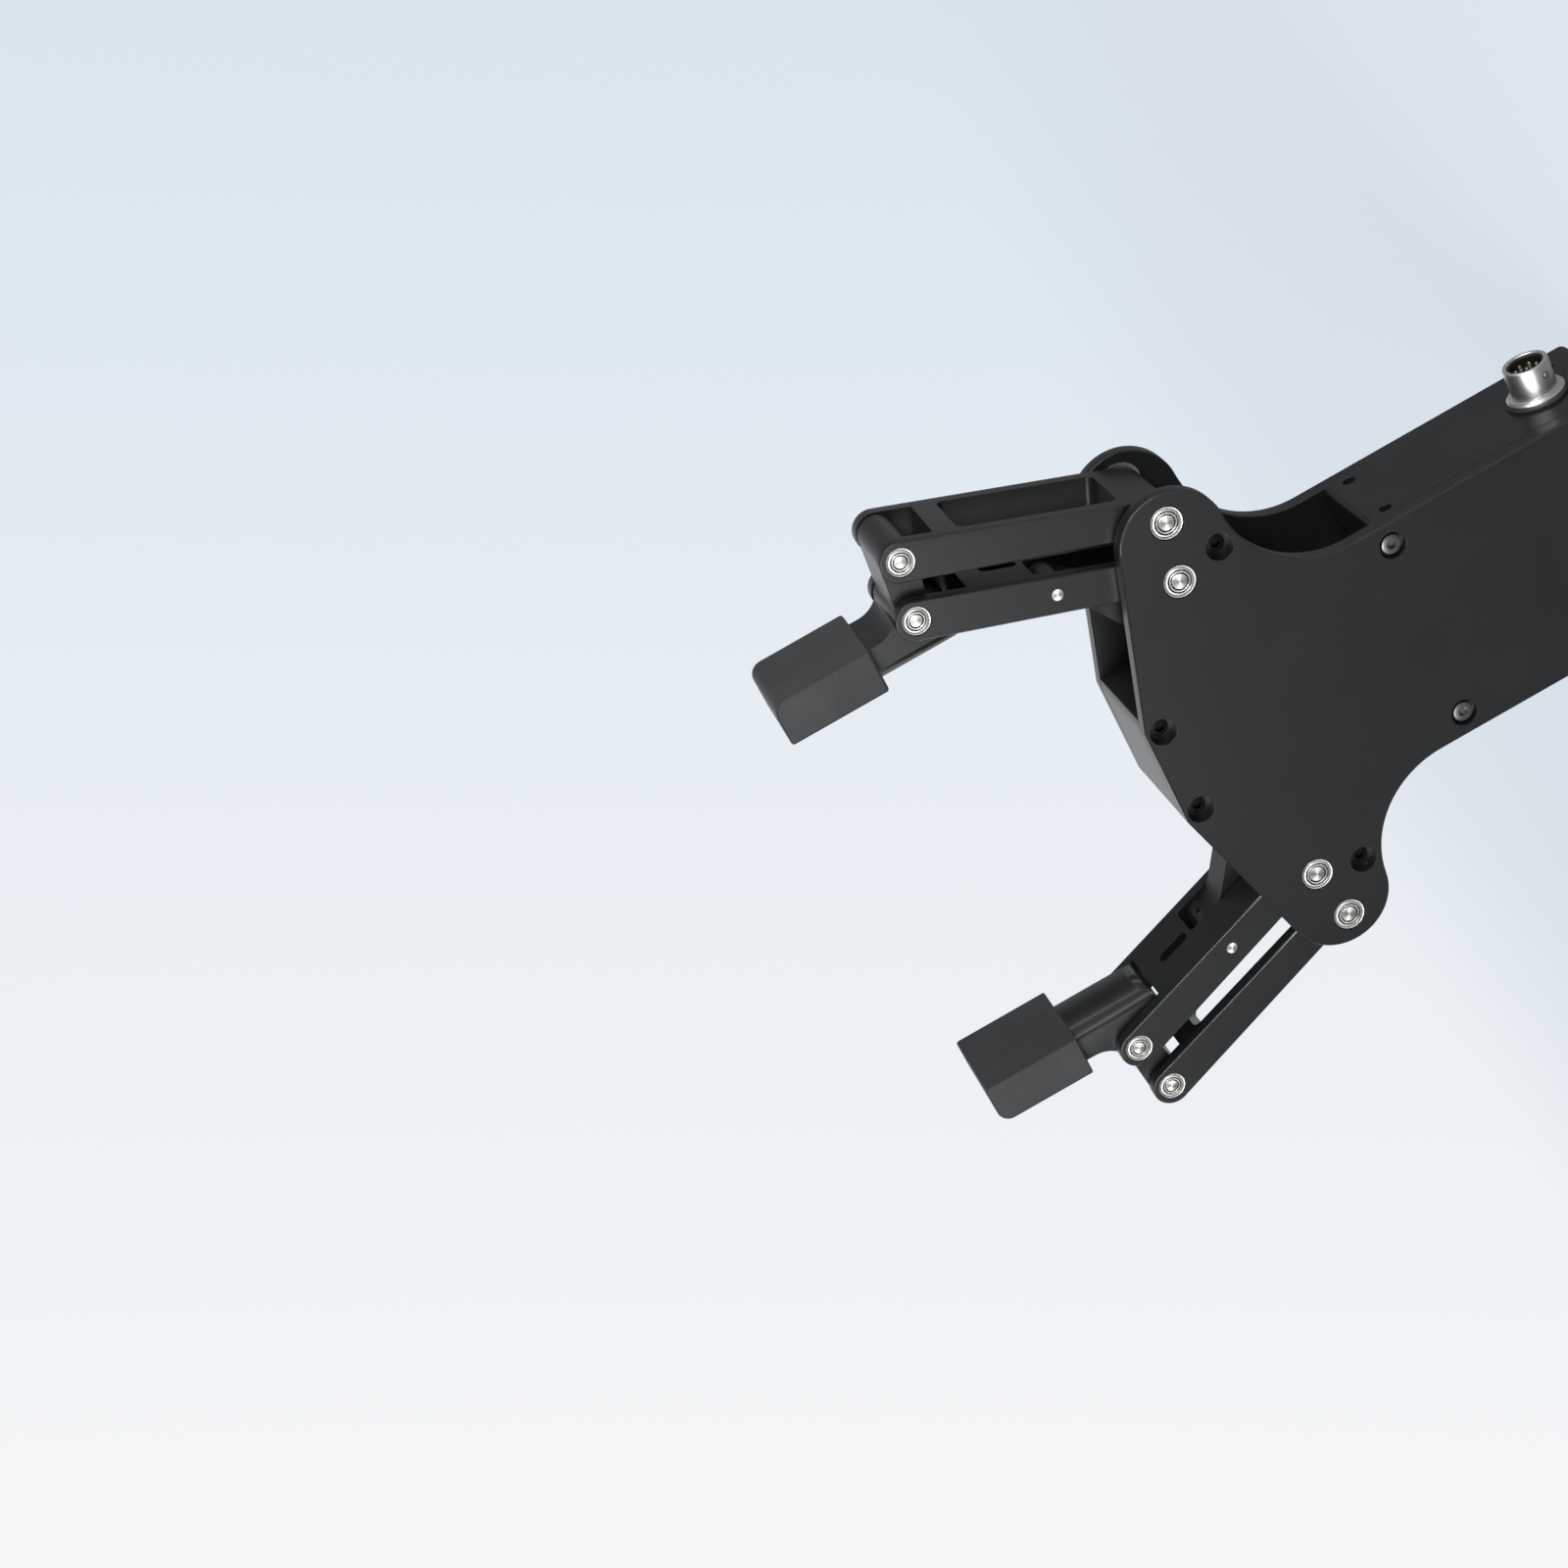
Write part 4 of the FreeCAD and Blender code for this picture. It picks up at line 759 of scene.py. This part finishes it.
@dataclass
class Studio:
    """Pale floor, pale surroundings and soft lights."""

    camera: PhotoCamera
    floor_radius: float = 520.0
    floor_drop: float = 0.6
    floor_fade: tuple[float, float] = (120.0, 499.2)
    floor_colour: Colour = (0.12, 0.125, 0.13)
    floor_glow: float = 0.74
    glow_seen: Colour = (0.84, 0.92, 1.0)
    glow_mirrored: Colour = (0.22, 0.23, 0.24)
    backdrop_low: tuple[float, Colour] = (0.35, (0.94, 0.94, 0.945))
    backdrop_high: tuple[float, Colour] = (0.66, (0.66, 0.76, 0.85))
    room_front: tuple[float, Colour] = (0.82, (0.1, 0.103, 0.107))
    room_back: tuple[float, Colour] = (0.99, (1.0, 1.02, 1.05))
    lamps: tuple[Lamp, ...] = (
        Lamp("key", (0.0, -0.75, 0.65), 0.6, 7.6, (0.98, 0.99, 1.0)),
        Lamp("glint", (-0.55, 0.24, 0.7), 0.26, 4.5, (0.97, 0.98, 1.0)),
        Lamp("top", (-0.45, 0.85, 0.3), 0.5, 2.5, (0.97, 0.98, 1.0)),
        Lamp("front", (-0.1, 0.15, 1.0), 0.25, 1.5, (1.0, 1.0, 1.0)))

    @staticmethod
    def seen(sheet: NodeSheet) -> Node:
        """Add a mix that gives B to the camera and A to every reflection.

        Args:
            sheet: sheet of the world or the floor.

        Returns:
            The mix.
        """
        mix = sheet.add("Mix", data_type="RGBA")
        sheet.join(sheet.add("LightPath"), "Is Camera Ray", mix, "Factor")
        return mix

    def world(self) -> None:
        """Pale backdrop for the camera, and a room that is bright at the back for its reflections."""
        world = bpy.data.worlds.new("studio")
        bpy.context.scene.world = world
        world.use_nodes = True
        sheet = NodeSheet(world.node_tree)
        _, up, ahead = self.camera.axes()
        mix = self.seen(sheet)
        back = sheet.set(world.node_tree.nodes["Background"], Strength=1.0)
        sheet.join(self.ramp(sheet, ahead, self.room_front, self.room_back), "Color", mix, "A")
        sheet.join(self.ramp(sheet, up, self.backdrop_low, self.backdrop_high), "Color", mix, "B")
        sheet.join(mix, "Result", back, "Color")

    @staticmethod
    def ramp(sheet: NodeSheet, along: Vector, start: tuple[float, Colour],
             end: tuple[float, Colour]) -> Node:
        """Colour that drifts with the direction looked in.

        Args:
            sheet: sheet of the world.
            along: direction that the drift runs along.
            start: place from 0 to 1 and colour at its start.
            end: place and colour at its end.

        Returns:
            Node that gives the colour.
        """
        lean = sheet.add("VectorMath", operation="DOT_PRODUCT")
        lean.inputs[1].default_value = along
        spread = sheet.set(sheet.add("MapRange"), From_Min=-1.0, From_Max=1.0)
        ramp = sheet.add("ValToRGB")
        for element, (place, colour) in zip(ramp.color_ramp.elements, (start, end)):
            element.position = place
            element.color = (*colour, 1.0)
        sheet.join(sheet.add("TexCoord"), "Generated", lean, 0)
        sheet.join(lean, "Value", spread, "Value")
        sheet.join(spread, "Result", ramp, "Fac")
        return ramp

    def floor(self) -> None:
        """Round pale floor that fades out into the surroundings."""
        shape = bmesh.new()
        bmesh.ops.create_circle(shape, cap_ends=True, segments=96, radius=self.floor_radius * MM)
        bmesh.ops.translate(shape, verts=shape.verts[:], vec=(0.0, 0.0, -self.floor_drop * MM))
        mesh = bpy.data.meshes.new("floor")
        shape.to_mesh(mesh)
        shape.free()
        sheet, shader, material = start_material("pale_floor")
        sheet.set(shader, Base_Color=(*self.floor_colour, 1.0), Roughness=0.9, Specular_IOR_Level=0.0,
                  Emission_Strength=self.floor_glow)
        glow = self.seen(sheet)
        glow.inputs["A"].default_value = (*self.glow_mirrored, 1.0)
        glow.inputs["B"].default_value = (*self.glow_seen, 1.0)
        length = sheet.add("VectorMath", operation="LENGTH")
        fade = sheet.add("MapRange", interpolation_type="SMOOTHSTEP")
        near, far = (distance * MM for distance in self.floor_fade)
        sheet.set(fade, From_Min=near, From_Max=far, To_Min=1.0, To_Max=0.0)
        sheet.join(glow, "Result", shader, "Emission Color")
        sheet.join(sheet.add("TexCoord"), "Object", length, 0)
        sheet.join(length, "Value", fade, "Value")
        sheet.join(fade, "Result", shader, "Alpha")
        mesh.materials.append(material)
        stand("floor", mesh)

    def light(self, lamp: Lamp) -> None:
        """Hang one lamp so that it looks at the middle of the gripper.

        Args:
            lamp: the lamp, with its direction as the picture's right, its up and towards the camera.
        """
        right, up, ahead = self.camera.axes()
        towards = (right * lamp.way[0] + up * lamp.way[1] - ahead * lamp.way[2]).normalized()
        data = bpy.data.lights.new(lamp.name, "AREA")
        data.shape = "DISK"
        data.size = lamp.size
        data.energy = lamp.power
        data.color = lamp.colour
        light = stand(lamp.name, data)
        light.location = Vector((0.0, 0.0, self.camera.pivot_height * MM)) + towards * lamp.distance
        light.rotation_mode = "QUATERNION"
        light.rotation_quaternion = towards.to_track_quat("Z", "Y")

    def build(self) -> None:
        """Set the whole studio up."""
        bpy.context.scene.view_settings.view_transform = "Standard"
        self.world()
        self.floor()
        for lamp in self.lamps:
            self.light(lamp)


@dataclass
class SubAssembly:
    """Part of the gripper that is built in a workshop. Its sizes are its own."""

    workshop: Workshop


@dataclass
class Housing(SubAssembly):
    """Cover plates, middle housing, top block and ear spacers."""

    slot: str = "black_aluminium"

    def build(self) -> None:
        """Break the edges of every plate and block."""
        for node in ("front_plate", "back_plate", "middle_housing", "top_block", "motor_mount",
                     "right_ear_spacer", "left_ear_spacer"):
            self.workshop.machined(node, Look.ANODISED, self.slot)


@dataclass(frozen=True)
class ScrewHead:
    """Head of a plate screw: its size, how deep it lies, its rim and its finish."""

    radius: float
    crown: float
    seat: float
    rim: float
    finish: int


@dataclass
class PlateScrews(SubAssembly):
    """Socket head screws of both cover plates."""

    depth: float = 23.5
    shank_radius: float = 1.0
    shank_end: float = 6.65
    tip_chamfer: float = 0.3
    least_skirt: float = 0.02
    socket_flats: float = 1.4
    socket_depth: float = 0.7
    steps: int = 48
    # Deep heads take the black oxide, painted darker as painted shade of their counterbores; shallow heads
    # take worn steel.
    deep: ScrewHead = ScrewHead(1.4, 1.85, 2.0, 0.08, 0)
    shallow: ScrewHead = ScrewHead(1.65, 0.4, 1.45, 0.28, 1)
    top: Point = (7.6, 87.5)
    ear: Point = (30.3, 67.8)
    middle_height: float = 43.8
    low_height: float = 3.1
    inset: dict[Face, float] = field(default_factory=lambda: {Face.FRONT: 16.0, Face.BACK: 17.1})
    row_lean: float = 17.0
    side_lean: float = 11.0

    def screw(self, spot: Point, face: Face, head: ScrewHead, lean: float) -> Shape:
        """Build one screw.

        Args:
            spot: x and z of its axis.
            face: plate that it is in.
            head: kind of head.
            lean: turn of the hexagon in degrees.

        Returns:
            Its shape.
        """
        shape = bmesh.new()
        hexagon = self.circle(shape, 6, self.socket_flats / math.sqrt(3))
        bmesh.ops.subdivide_edges(shape, edges=hexagon, cuts=self.steps // 6 - 1)
        hexagon = shape.edges[:]
        crown = head.radius - head.rim
        ring = self.circle(shape, self.steps, crown)
        bmesh.ops.bridge_loops(shape, edges=hexagon + ring)
        self.drop(shape, hexagon, [(1.0, -self.socket_depth)])
        cos45 = math.sqrt(0.5)
        out = head.radius / crown
        middle = 1 + (out - 1) * cos45
        skirt = head.seat - head.crown - head.rim
        shank = self.shank_end - self.tip_chamfer - head.seat
        self.drop(shape, ring, [(middle, -head.rim * (1 - cos45)), (out / middle, -head.rim * cos45),
                                (1.0, -max(skirt, self.least_skirt)),
                                (self.shank_radius / head.radius, 0.0), (1.0, -shank),
                                (1.0 - self.tip_chamfer / self.shank_radius, -self.tip_chamfer)])
        bmesh.ops.recalc_face_normals(shape, faces=shape.faces[:])
        for side in shape.faces:
            side.material_index = head.finish
        turn = Matrix.Rotation(math.radians(lean), 4, "Z")
        tip = Matrix.Rotation(math.radians(-90 * face.value), 4, "X")
        place = Vector((spot[0], face.value * (self.depth / 2 - head.crown), spot[1])) * MM
        bmesh.ops.transform(shape, matrix=Matrix.Translation(place) @ tip @ turn, verts=shape.verts[:])
        axis = Vector((0.0, float(face.value), 0.0))
        lathe_map(shape, place, axis, axis.orthogonal().normalized())
        return shape

    @staticmethod
    def circle(shape: Shape, segments: int, radius: float) -> list[bmesh.types.BMEdge]:
        """Add an open circle of a radius in millimetres and give its edges."""
        spots = bmesh.ops.create_circle(shape, cap_ends=False, segments=segments, radius=radius * MM)
        return list({edge for vert in spots["verts"] for edge in vert.link_edges})

    @staticmethod
    def drop(shape: Shape, loop: list[bmesh.types.BMEdge], steps: list[Point]) -> None:
        """Extrude a loop of edges in steps, each a scale about the axis and a drop, and close it.

        Args:
            shape: bmesh that the loop is in.
            loop: edges to start from.
            steps: scale and drop in millimetres of each step.
        """
        for scale, fall in steps:
            grown = bmesh.ops.extrude_edge_only(shape, edges=loop)["geom"]
            verts = [item for item in grown if isinstance(item, bmesh.types.BMVert)]
            loop = [item for item in grown if isinstance(item, bmesh.types.BMEdge)
                    and len(item.link_faces) == 1]
            bmesh.ops.scale(shape, vec=(scale, scale, 1.0), verts=verts)
            bmesh.ops.translate(shape, vec=(0.0, 0.0, fall * MM), verts=verts)
        bmesh.ops.contextual_create(shape, geom=loop)

    def build(self) -> None:
        """Build the eight screws of each plate as one piece."""
        for face in Face:
            inset = self.inset[face]
            screws = []
            for number, (spot, head) in enumerate(((self.top, self.deep), (self.ear, self.deep),
                                                   ((inset, self.middle_height), self.shallow),
                                                   ((inset, self.low_height), self.shallow))):
                for side in Side:
                    lean = self.row_lean * number + self.side_lean * side.value
                    screws.append(self.screw((side.value * spot[0], spot[1]), face, head, lean))
            node = face.label + "_plate_screws"
            self.workshop.piece(node + "_heads", merged(screws), [Look.OXIDE, Look.WORN_STEEL], node,
                                "screw_steel")


@dataclass
class Bearing:
    """One small ball bearing: race, dark groove, lip, sunk band and bright rim."""

    radius: float
    bore: float
    length: float
    flange: float = 0.0
    flange_thickness: float = 0.3
    running: float = 0.19
    race: float = 0.24
    groove: float = 0.21
    lip: float = 0.28
    rim: float = 0.2
    soft: float = 0.05
    groove_drop: float = 0.6
    band_drop: float = 0.24
    shield_gap: float = 0.01
    shield_half: float = 0.05

    def build(self, centre: Point, crown: float, outward: int) -> Shape:
        """Spin the bearing's rings and its shield.

        Args:
            centre: x and z of the axis.
            crown: distance of the outer face from the middle plane.
            outward: sign of y that the outer face looks to.

        Returns:
            The shape, with material 0 for the rings and 1 for the shield.
        """
        axis = Vector((0.0, float(outward), 0.0))
        place = (centre[0], outward * crown, centre[1])
        bore = self.bore + self.running
        race, soft, back = bore + self.race, self.soft, -self.length
        lip = race + self.groove
        band, rim = lip + self.lip, self.radius - self.rim
        rings = [(bore, back), (bore, -soft), (bore + soft, 0.0), (race - soft, 0.0), (race, -soft),
                 (race, -self.groove_drop), (lip, -self.groove_drop), (lip, -soft), (lip + soft, 0.0),
                 (band - soft, 0.0), (band, -soft / 2), (rim - soft / 2, -self.band_drop),
                 (rim, -soft / 2), (rim + soft, 0.0), (self.radius - soft, 0.0), (self.radius, -soft)]
        if self.flange:
            step = back + self.flange_thickness
            rings += [(self.radius, step), (self.radius + self.flange, step),
                      (self.radius + self.flange, back)]
        else:
            rings.append((self.radius, back))
        inner, outer = race + self.shield_gap, lip - self.shield_gap
        low, high = -self.groove_drop - self.shield_half, -self.groove_drop + self.shield_half
        shield = [(inner, low), (inner, high), (outer, high), (outer, low)]
        return merged([turned(rings, place, axis), turned(shield, place, axis)], [0, 1])


@dataclass
class Shaft:
    """Pin or shaft with faced ends that rise a little to the middle."""

    radius: float
    half_length: float
    chamfer: float = 0.08
    crown: float = 0.03

    def build(self, centre: Point) -> Shape:
        """Spin the shaft from its front end to its back end.

        Args:
            centre: x and z of the axis.

        Returns:
            The shape.
        """
        edge = self.radius - self.chamfer
        foot = self.half_length - self.crown
        end = [(self.radius, foot - self.chamfer), (edge, foot), (edge * 0.5, foot + self.crown * 0.5),
               (0.0, self.half_length)]
        profile = [(r, -y) for r, y in reversed(end)] + end
        return turned(profile, (centre[0], 0.0, centre[1]), Vector((0.0, 1.0, 0.0)), steps=48)


@dataclass
class Pivots:
    """Places that both arms share, for the right arm at rest."""

    outer: Point = (38.0, 73.5)
    step: Point = (-9.5, 1.9)
    link_length: float = 40.0
    open_deg: float = 20.8
    drive_pin: float = 18.0

    @property
    def inner(self) -> Point:
        """Inner link's pivot on the body."""
        return (self.outer[0] + self.step[0], self.outer[1] + self.step[1])

    def along(self, start: Point, distance: float) -> Point:
        """Point on a link, at a distance from its body pivot."""
        lean = math.radians(self.open_deg)
        return (start[0] + distance * math.sin(lean), start[1] + distance * math.cos(lean))


@dataclass
class PlateBearings(SubAssembly):
    """Flanged bearings of both cover plates."""

    pivots: Pivots
    face: float = 11.65
    bearing: Bearing = field(default_factory=lambda: Bearing(2.58, 1.25, 2.95, flange=0.62))

    def build(self) -> None:
        """Build the four bearings of each plate as one piece."""
        for face in Face:
            parts = [self.bearing.build((side.value * spot[0], spot[1]), self.face, face.value)
                     for spot in (self.pivots.outer, self.pivots.inner) for side in Side]
            node = face.label + "_body_bearings"
            self.workshop.piece(node + "_rings", merged(parts), [Look.RING_STEEL, Look.SHIELD], node,
                                "bearing_steel")


@dataclass
class Arm(SubAssembly):
    """One arm: two links, a finger with its tip cover, a drive rod, bearings and pins."""

    side: Side
    pivots: Pivots
    link_face: float = 8.3
    body_face: float = 11.65
    bar: float = 2.25
    pin_radius: float = 1.0
    shaft_radius: float = 1.25
    bearing_radius: float = 2.25
    sunk: float = 0.1

    def place(self, spot: Point) -> Point:
        """The same spot on this arm."""
        return (self.side.value * spot[0], spot[1])

    def build(self) -> None:
        """Build every piece of the arm."""
        label = self.side.label
        for part in ("outer_link", "inner_link", "finger"):
            self.workshop.machined("%s_%s" % (label, part), Look.ANODISED, "black_aluminium")
        self.workshop.machined(label + "_finger_pad", Look.TIP_RUBBER, "tip_rubber", width=0.5)
        self.workshop.machined(label + "_drive_rod", Look.ANODISED, "motor_steel")
        self.build_bearings()
        self.build_pins()

    def build_bearings(self) -> None:
        """Build the two bearings in each link's fork."""
        bearing = Bearing(self.bearing_radius, self.pin_radius, self.bar - 2 * self.sunk, running=0.17,
                          race=0.22, groove=0.19, lip=0.28, rim=0.17)
        for part, start in (("outer_link", self.pivots.outer), ("inner_link", self.pivots.inner)):
            spot = self.place(self.pivots.along(start, self.pivots.link_length))
            node = "%s_%s_bearings" % (self.side.label, part)
            rings = merged([bearing.build(spot, self.link_face - self.sunk, face.value) for face in Face])
            self.workshop.piece(node + "_rings", rings, [Look.RING_STEEL, Look.SHIELD], node,
                                "bearing_steel")

    def build_pins(self) -> None:
        """Build the body shafts, the finger pins and the drive pin."""
        outer, inner, length = self.pivots.outer, self.pivots.inner, self.pivots.link_length
        body = Shaft(self.shaft_radius, self.body_face)
        pin = Shaft(self.pin_radius, self.link_face - self.sunk)
        for part, shaft, spot in (("outer_shaft", body, outer), ("inner_shaft", body, inner),
                                  ("outer_finger_pin", pin, self.pivots.along(outer, length)),
                                  ("inner_finger_pin", pin, self.pivots.along(inner, length)),
                                  ("drive_pin", pin, self.pivots.along(inner, self.pivots.drive_pin))):
            node = "%s_%s" % (self.side.label, part)
            self.workshop.piece(node + "_turned", shaft.build(self.place(spot)), [Look.SHAFT_STEEL],
                                node, "shaft_steel")


@dataclass
class SideConnector(SubAssembly):
    """Round connector in the +X wall, with its insert and contacts."""

    wall: float = 19.75
    height: float = 11.0
    seal: float = 0.4
    flange: float = 0.9
    flange_radius: float = 4.65
    barrel: float = 5.0
    barrel_radius: float = 3.62
    bore: float = 2.85
    tail: float = 6.6
    tail_radius: float = 3.2
    tail_bore: float = 2.25
    chamfer: float = 0.2
    fillet: float = 0.3
    fillet_middle: float = 0.09
    rim: float = 0.25
    rim_middle: float = 0.08
    mouth_middle: Point = (0.12, 0.06)
    dot_radius: float = 0.42
    dot_crown: float = 0.09
    dot_edge: float = 0.05
    dot_shade_ring: float = 0.14
    dot_drop: float = 2.0
    dot_turn: float = 22.0
    recess: float = 0.95
    standout: float = 0.8
    cup_drop: float = 0.35
    cup_gap: float = 0.04
    cup_edge: float = 0.1
    cup_wall: float = 0.3
    contact_radius: float = 0.28
    contact_tip: Point = (0.7, 0.25)
    contact_circle: float = 1.75
    contacts: int = 7

    def __post_init__(self) -> None:
        """Work out the axis, the seat on the wall and the height of the rim above it."""
        self.axis = Vector((1.0, 0.0, 0.0))
        self.seat = (self.wall + self.seal, 0.0, self.height)
        self.tip = self.flange + self.barrel

    def shell(self) -> Shape:
        """Build the flanged barrel with its pressed dot.

        Returns:
            The shape, with material 0 for the nickel and 1 for the dark ring round the dot, which is
            painted shade of a groove.
        """
        tip, waist, fillet, rim = self.tip, self.barrel_radius, self.fillet, self.rim
        outline = [(self.tail_bore, -self.tail), (self.tail_radius - self.chamfer, -self.tail),
                   (self.tail_radius, self.chamfer - self.tail), (self.tail_radius, 0.0),
                   (self.flange_radius, 0.0), (self.flange_radius, self.flange - fillet),
                   (self.flange_radius - fillet, self.flange), (waist + fillet, self.flange),
                   (waist + self.fillet_middle, self.flange + self.fillet_middle),
                   (waist, self.flange + fillet), (waist, tip - rim),
                   (waist - self.rim_middle, tip - self.rim_middle), (waist - rim, tip),
                   (self.bore + fillet, tip),
                   (self.bore + self.mouth_middle[0], tip - self.mouth_middle[1]),
                   (self.bore, tip - rim), (self.bore, 0.0), (self.tail_bore, 0.0)]
        way = Matrix.Rotation(math.radians(self.dot_turn), 3, "X") @ Vector((0.0, -1.0, 0.0))
        spot = tuple(Vector(self.seat) + self.axis * (tip - self.dot_drop) + way * waist)
        reach, sunk, proud = self.dot_radius + self.dot_shade_ring, -0.3, 0.015
        # The dark ring is a flat disc just proud of the barrel: painted shade in place of a groove round
        # the dot.
        groove = [(0.0, sunk), (reach, sunk), (reach, proud), (0.0, proud)]
        dot = [(0.0, 0.0), (self.dot_radius, 0.0), (self.dot_radius * 0.9, self.dot_edge),
               (0.0, self.dot_crown)]
        return merged([turned(outline, self.seat, self.axis, steps=96), turned(dot, spot, way, steps=32),
                       turned(groove, spot, way, steps=32)], [0, 0, 1])

    def insert(self) -> Shape:
        """Build the insert: a sunk face in a thin cup.

        Returns:
            Its shape.
        """
        face = self.tip - self.recess - self.standout
        cup = self.tip - self.cup_drop
        foot, edge, outer = 0.05, self.cup_edge, self.bore - self.cup_gap
        outline = [(0.0, foot), (outer, foot), (outer, cup - edge), (self.bore - edge, cup),
                   (self.bore - self.cup_wall, cup - edge),
                   (self.bore - self.cup_wall - self.cup_gap, face), (0.0, face)]
        return turned(outline, self.seat, self.axis)

    def pins(self) -> Shape:
        """Build the contacts: one in the middle and a circle of them, with domed tips.

        Returns:
            Their shape.
        """
        high = self.tip - self.recess
        radius = self.contact_radius
        narrow, dome = self.contact_tip
        foot, soft = 0.1, 0.06
        outline = [(0.0, foot), (radius, foot), (radius, high - dome), (radius * narrow, high - soft),
                   (0.0, high)]
        turns = [math.radians(-90 + 360 / self.contacts * number) for number in range(self.contacts)]
        spots = [(0.0, 0.0)] + [(self.contact_circle * math.cos(turn), self.contact_circle * math.sin(turn))
                                for turn in turns]
        return merged([turned(outline, (self.seat[0], y, self.height + z), self.axis, steps=20)
                       for y, z in spots])

    def build(self) -> None:
        """Build the shell, the insert and the contacts, and dress the seal and the nut."""
        self.workshop.piece("connector_barrel", self.shell(), [Look.NICKEL, Look.SHIELD],
                            "connector_shell", "connector_nickel")
        self.workshop.piece("connector_block", self.insert(), [Look.INSERT], "connector_insert",
                            "insert_plastic")
        self.workshop.piece("connector_pins", self.pins(), [Look.GOLD], "connector_contacts",
                            "contact_gold")
        self.workshop.dress("connector_seal", Look.SEAL_RUBBER)
        self.workshop.dress("connector_nut", Look.MOTOR_STEEL)


@dataclass
class DriveTrain(SubAssembly):
    """Pieces inside the housing that drive the arms."""

    thread_radius: float = 2.0
    root_radius: float = 1.55
    journal_radius: float = 1.25
    foot: float = 32.3
    thread_low: float = 44.3
    thread_high: float = 84.3
    head: float = 87.3
    chamfer: float = 0.1
    pitch: float = 1.0
    starts: int = 4
    half_crest: float = 0.2
    half_root: float = 0.44
    sunk: float = 0.05
    steps_per_turn: int = 28

    def thread(self, start: int) -> Shape:
        """Wind one start of the thread, right-handed, by a spin that climbs.

        Args:
            start: number of the start.

        Returns:
            Its shape.
        """
        up = Vector((0.0, 0.0, 1.0))
        turns = (self.thread_high - self.thread_low - self.pitch) / (self.pitch * self.starts)
        steps = round(turns * self.steps_per_turn)
        foot = self.root_radius - self.sunk
        base = self.thread_low + self.pitch / 2
        ridge = bmesh.new()
        corners = [ridge.verts.new(Vector((radius, 0.0, base + z)) * MM)
                   for radius, z in ((foot, -self.half_root), (self.thread_radius, -self.half_crest),
                                     (self.thread_radius, self.half_crest), (foot, self.half_root))]
        edges = [ridge.edges.new(pair) for pair in zip(corners, corners[1:] + corners[:1])]
        bmesh.ops.rotate(ridge, verts=corners, cent=(0.0, 0.0, 0.0),
                         matrix=Matrix.Rotation(math.tau * start / self.starts, 3, "Z"))
        climb = turns * self.pitch * self.starts / steps * MM
        bmesh.ops.spin(ridge, geom=corners + edges, cent=(0.0, 0.0, 0.0), axis=up, dvec=up * climb,
                       angle=math.tau * turns, steps=steps)
        bmesh.ops.holes_fill(ridge, edges=[edge for edge in ridge.edges if edge.is_boundary], sides=4)
        bmesh.ops.recalc_face_normals(ridge, faces=ridge.faces[:])
        return ridge

    def lead_screw(self) -> Shape:
        """Build the lead screw: journals and a core, with the thread wound round it.

        Returns:
            Its shape.
        """
        low, high, root, journal = self.thread_low, self.thread_high, self.root_radius, self.journal_radius
        core = [(0.0, self.foot), (journal - self.chamfer, self.foot), (journal, self.foot + self.chamfer),
                (journal, low), (root, low), (root, high), (journal, high),
                (journal, self.head - self.chamfer), (journal - self.chamfer, self.head), (0.0, self.head)]
        shaft = turned(core, (0.0, 0.0, 0.0), Vector((0.0, 0.0, 1.0)), steps=48)
        return merged([shaft] + [self.thread(start) for start in range(self.starts)])

    def build(self) -> None:
        """Break the crosshead's edges, cut the lead screw's thread and dress the rest."""
        self.workshop.machined("crosshead", Look.TOOL_STEEL, "motor_steel")
        self.workshop.piece("lead_screw_threaded", self.lead_screw(), [Look.MOTOR_STEEL], "lead_screw",
                            "motor_steel")
        for node, look in (("crosshead_pins", Look.MOTOR_STEEL), ("drive_nut", Look.BRONZE),
                           ("screw_bushing", Look.BRONZE), ("screw_bearing", Look.MOTOR_STEEL),
                           ("guide_rods", Look.MOTOR_STEEL),
                           ("gearhead", Look.MOTOR_STEEL), ("motor", Look.TOOL_STEEL),
                           ("control_board", Look.BOARD), ("board_components", Look.BOARD_PARTS)):
            self.workshop.dress(node, look)


def main() -> None:
    """Load the frame, build the studio and every sub-assembly."""
    logging.basicConfig(level=logging.INFO, format="%(name)s %(message)s")
    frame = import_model()
    camera = PhotoCamera()
    camera.place()
    Studio(camera).build()
    workshop = Workshop(frame, Effects())
    pivots = Pivots()
    for assembly in (Housing(workshop), PlateScrews(workshop), PlateBearings(workshop, pivots),
                     Arm(workshop, Side.RIGHT, pivots), Arm(workshop, Side.LEFT, pivots),
                     SideConnector(workshop), DriveTrain(workshop)):
        assembly.build()
        LOG.info("finished %s", type(assembly).__name__)


if __name__ == "__main__":
    main()
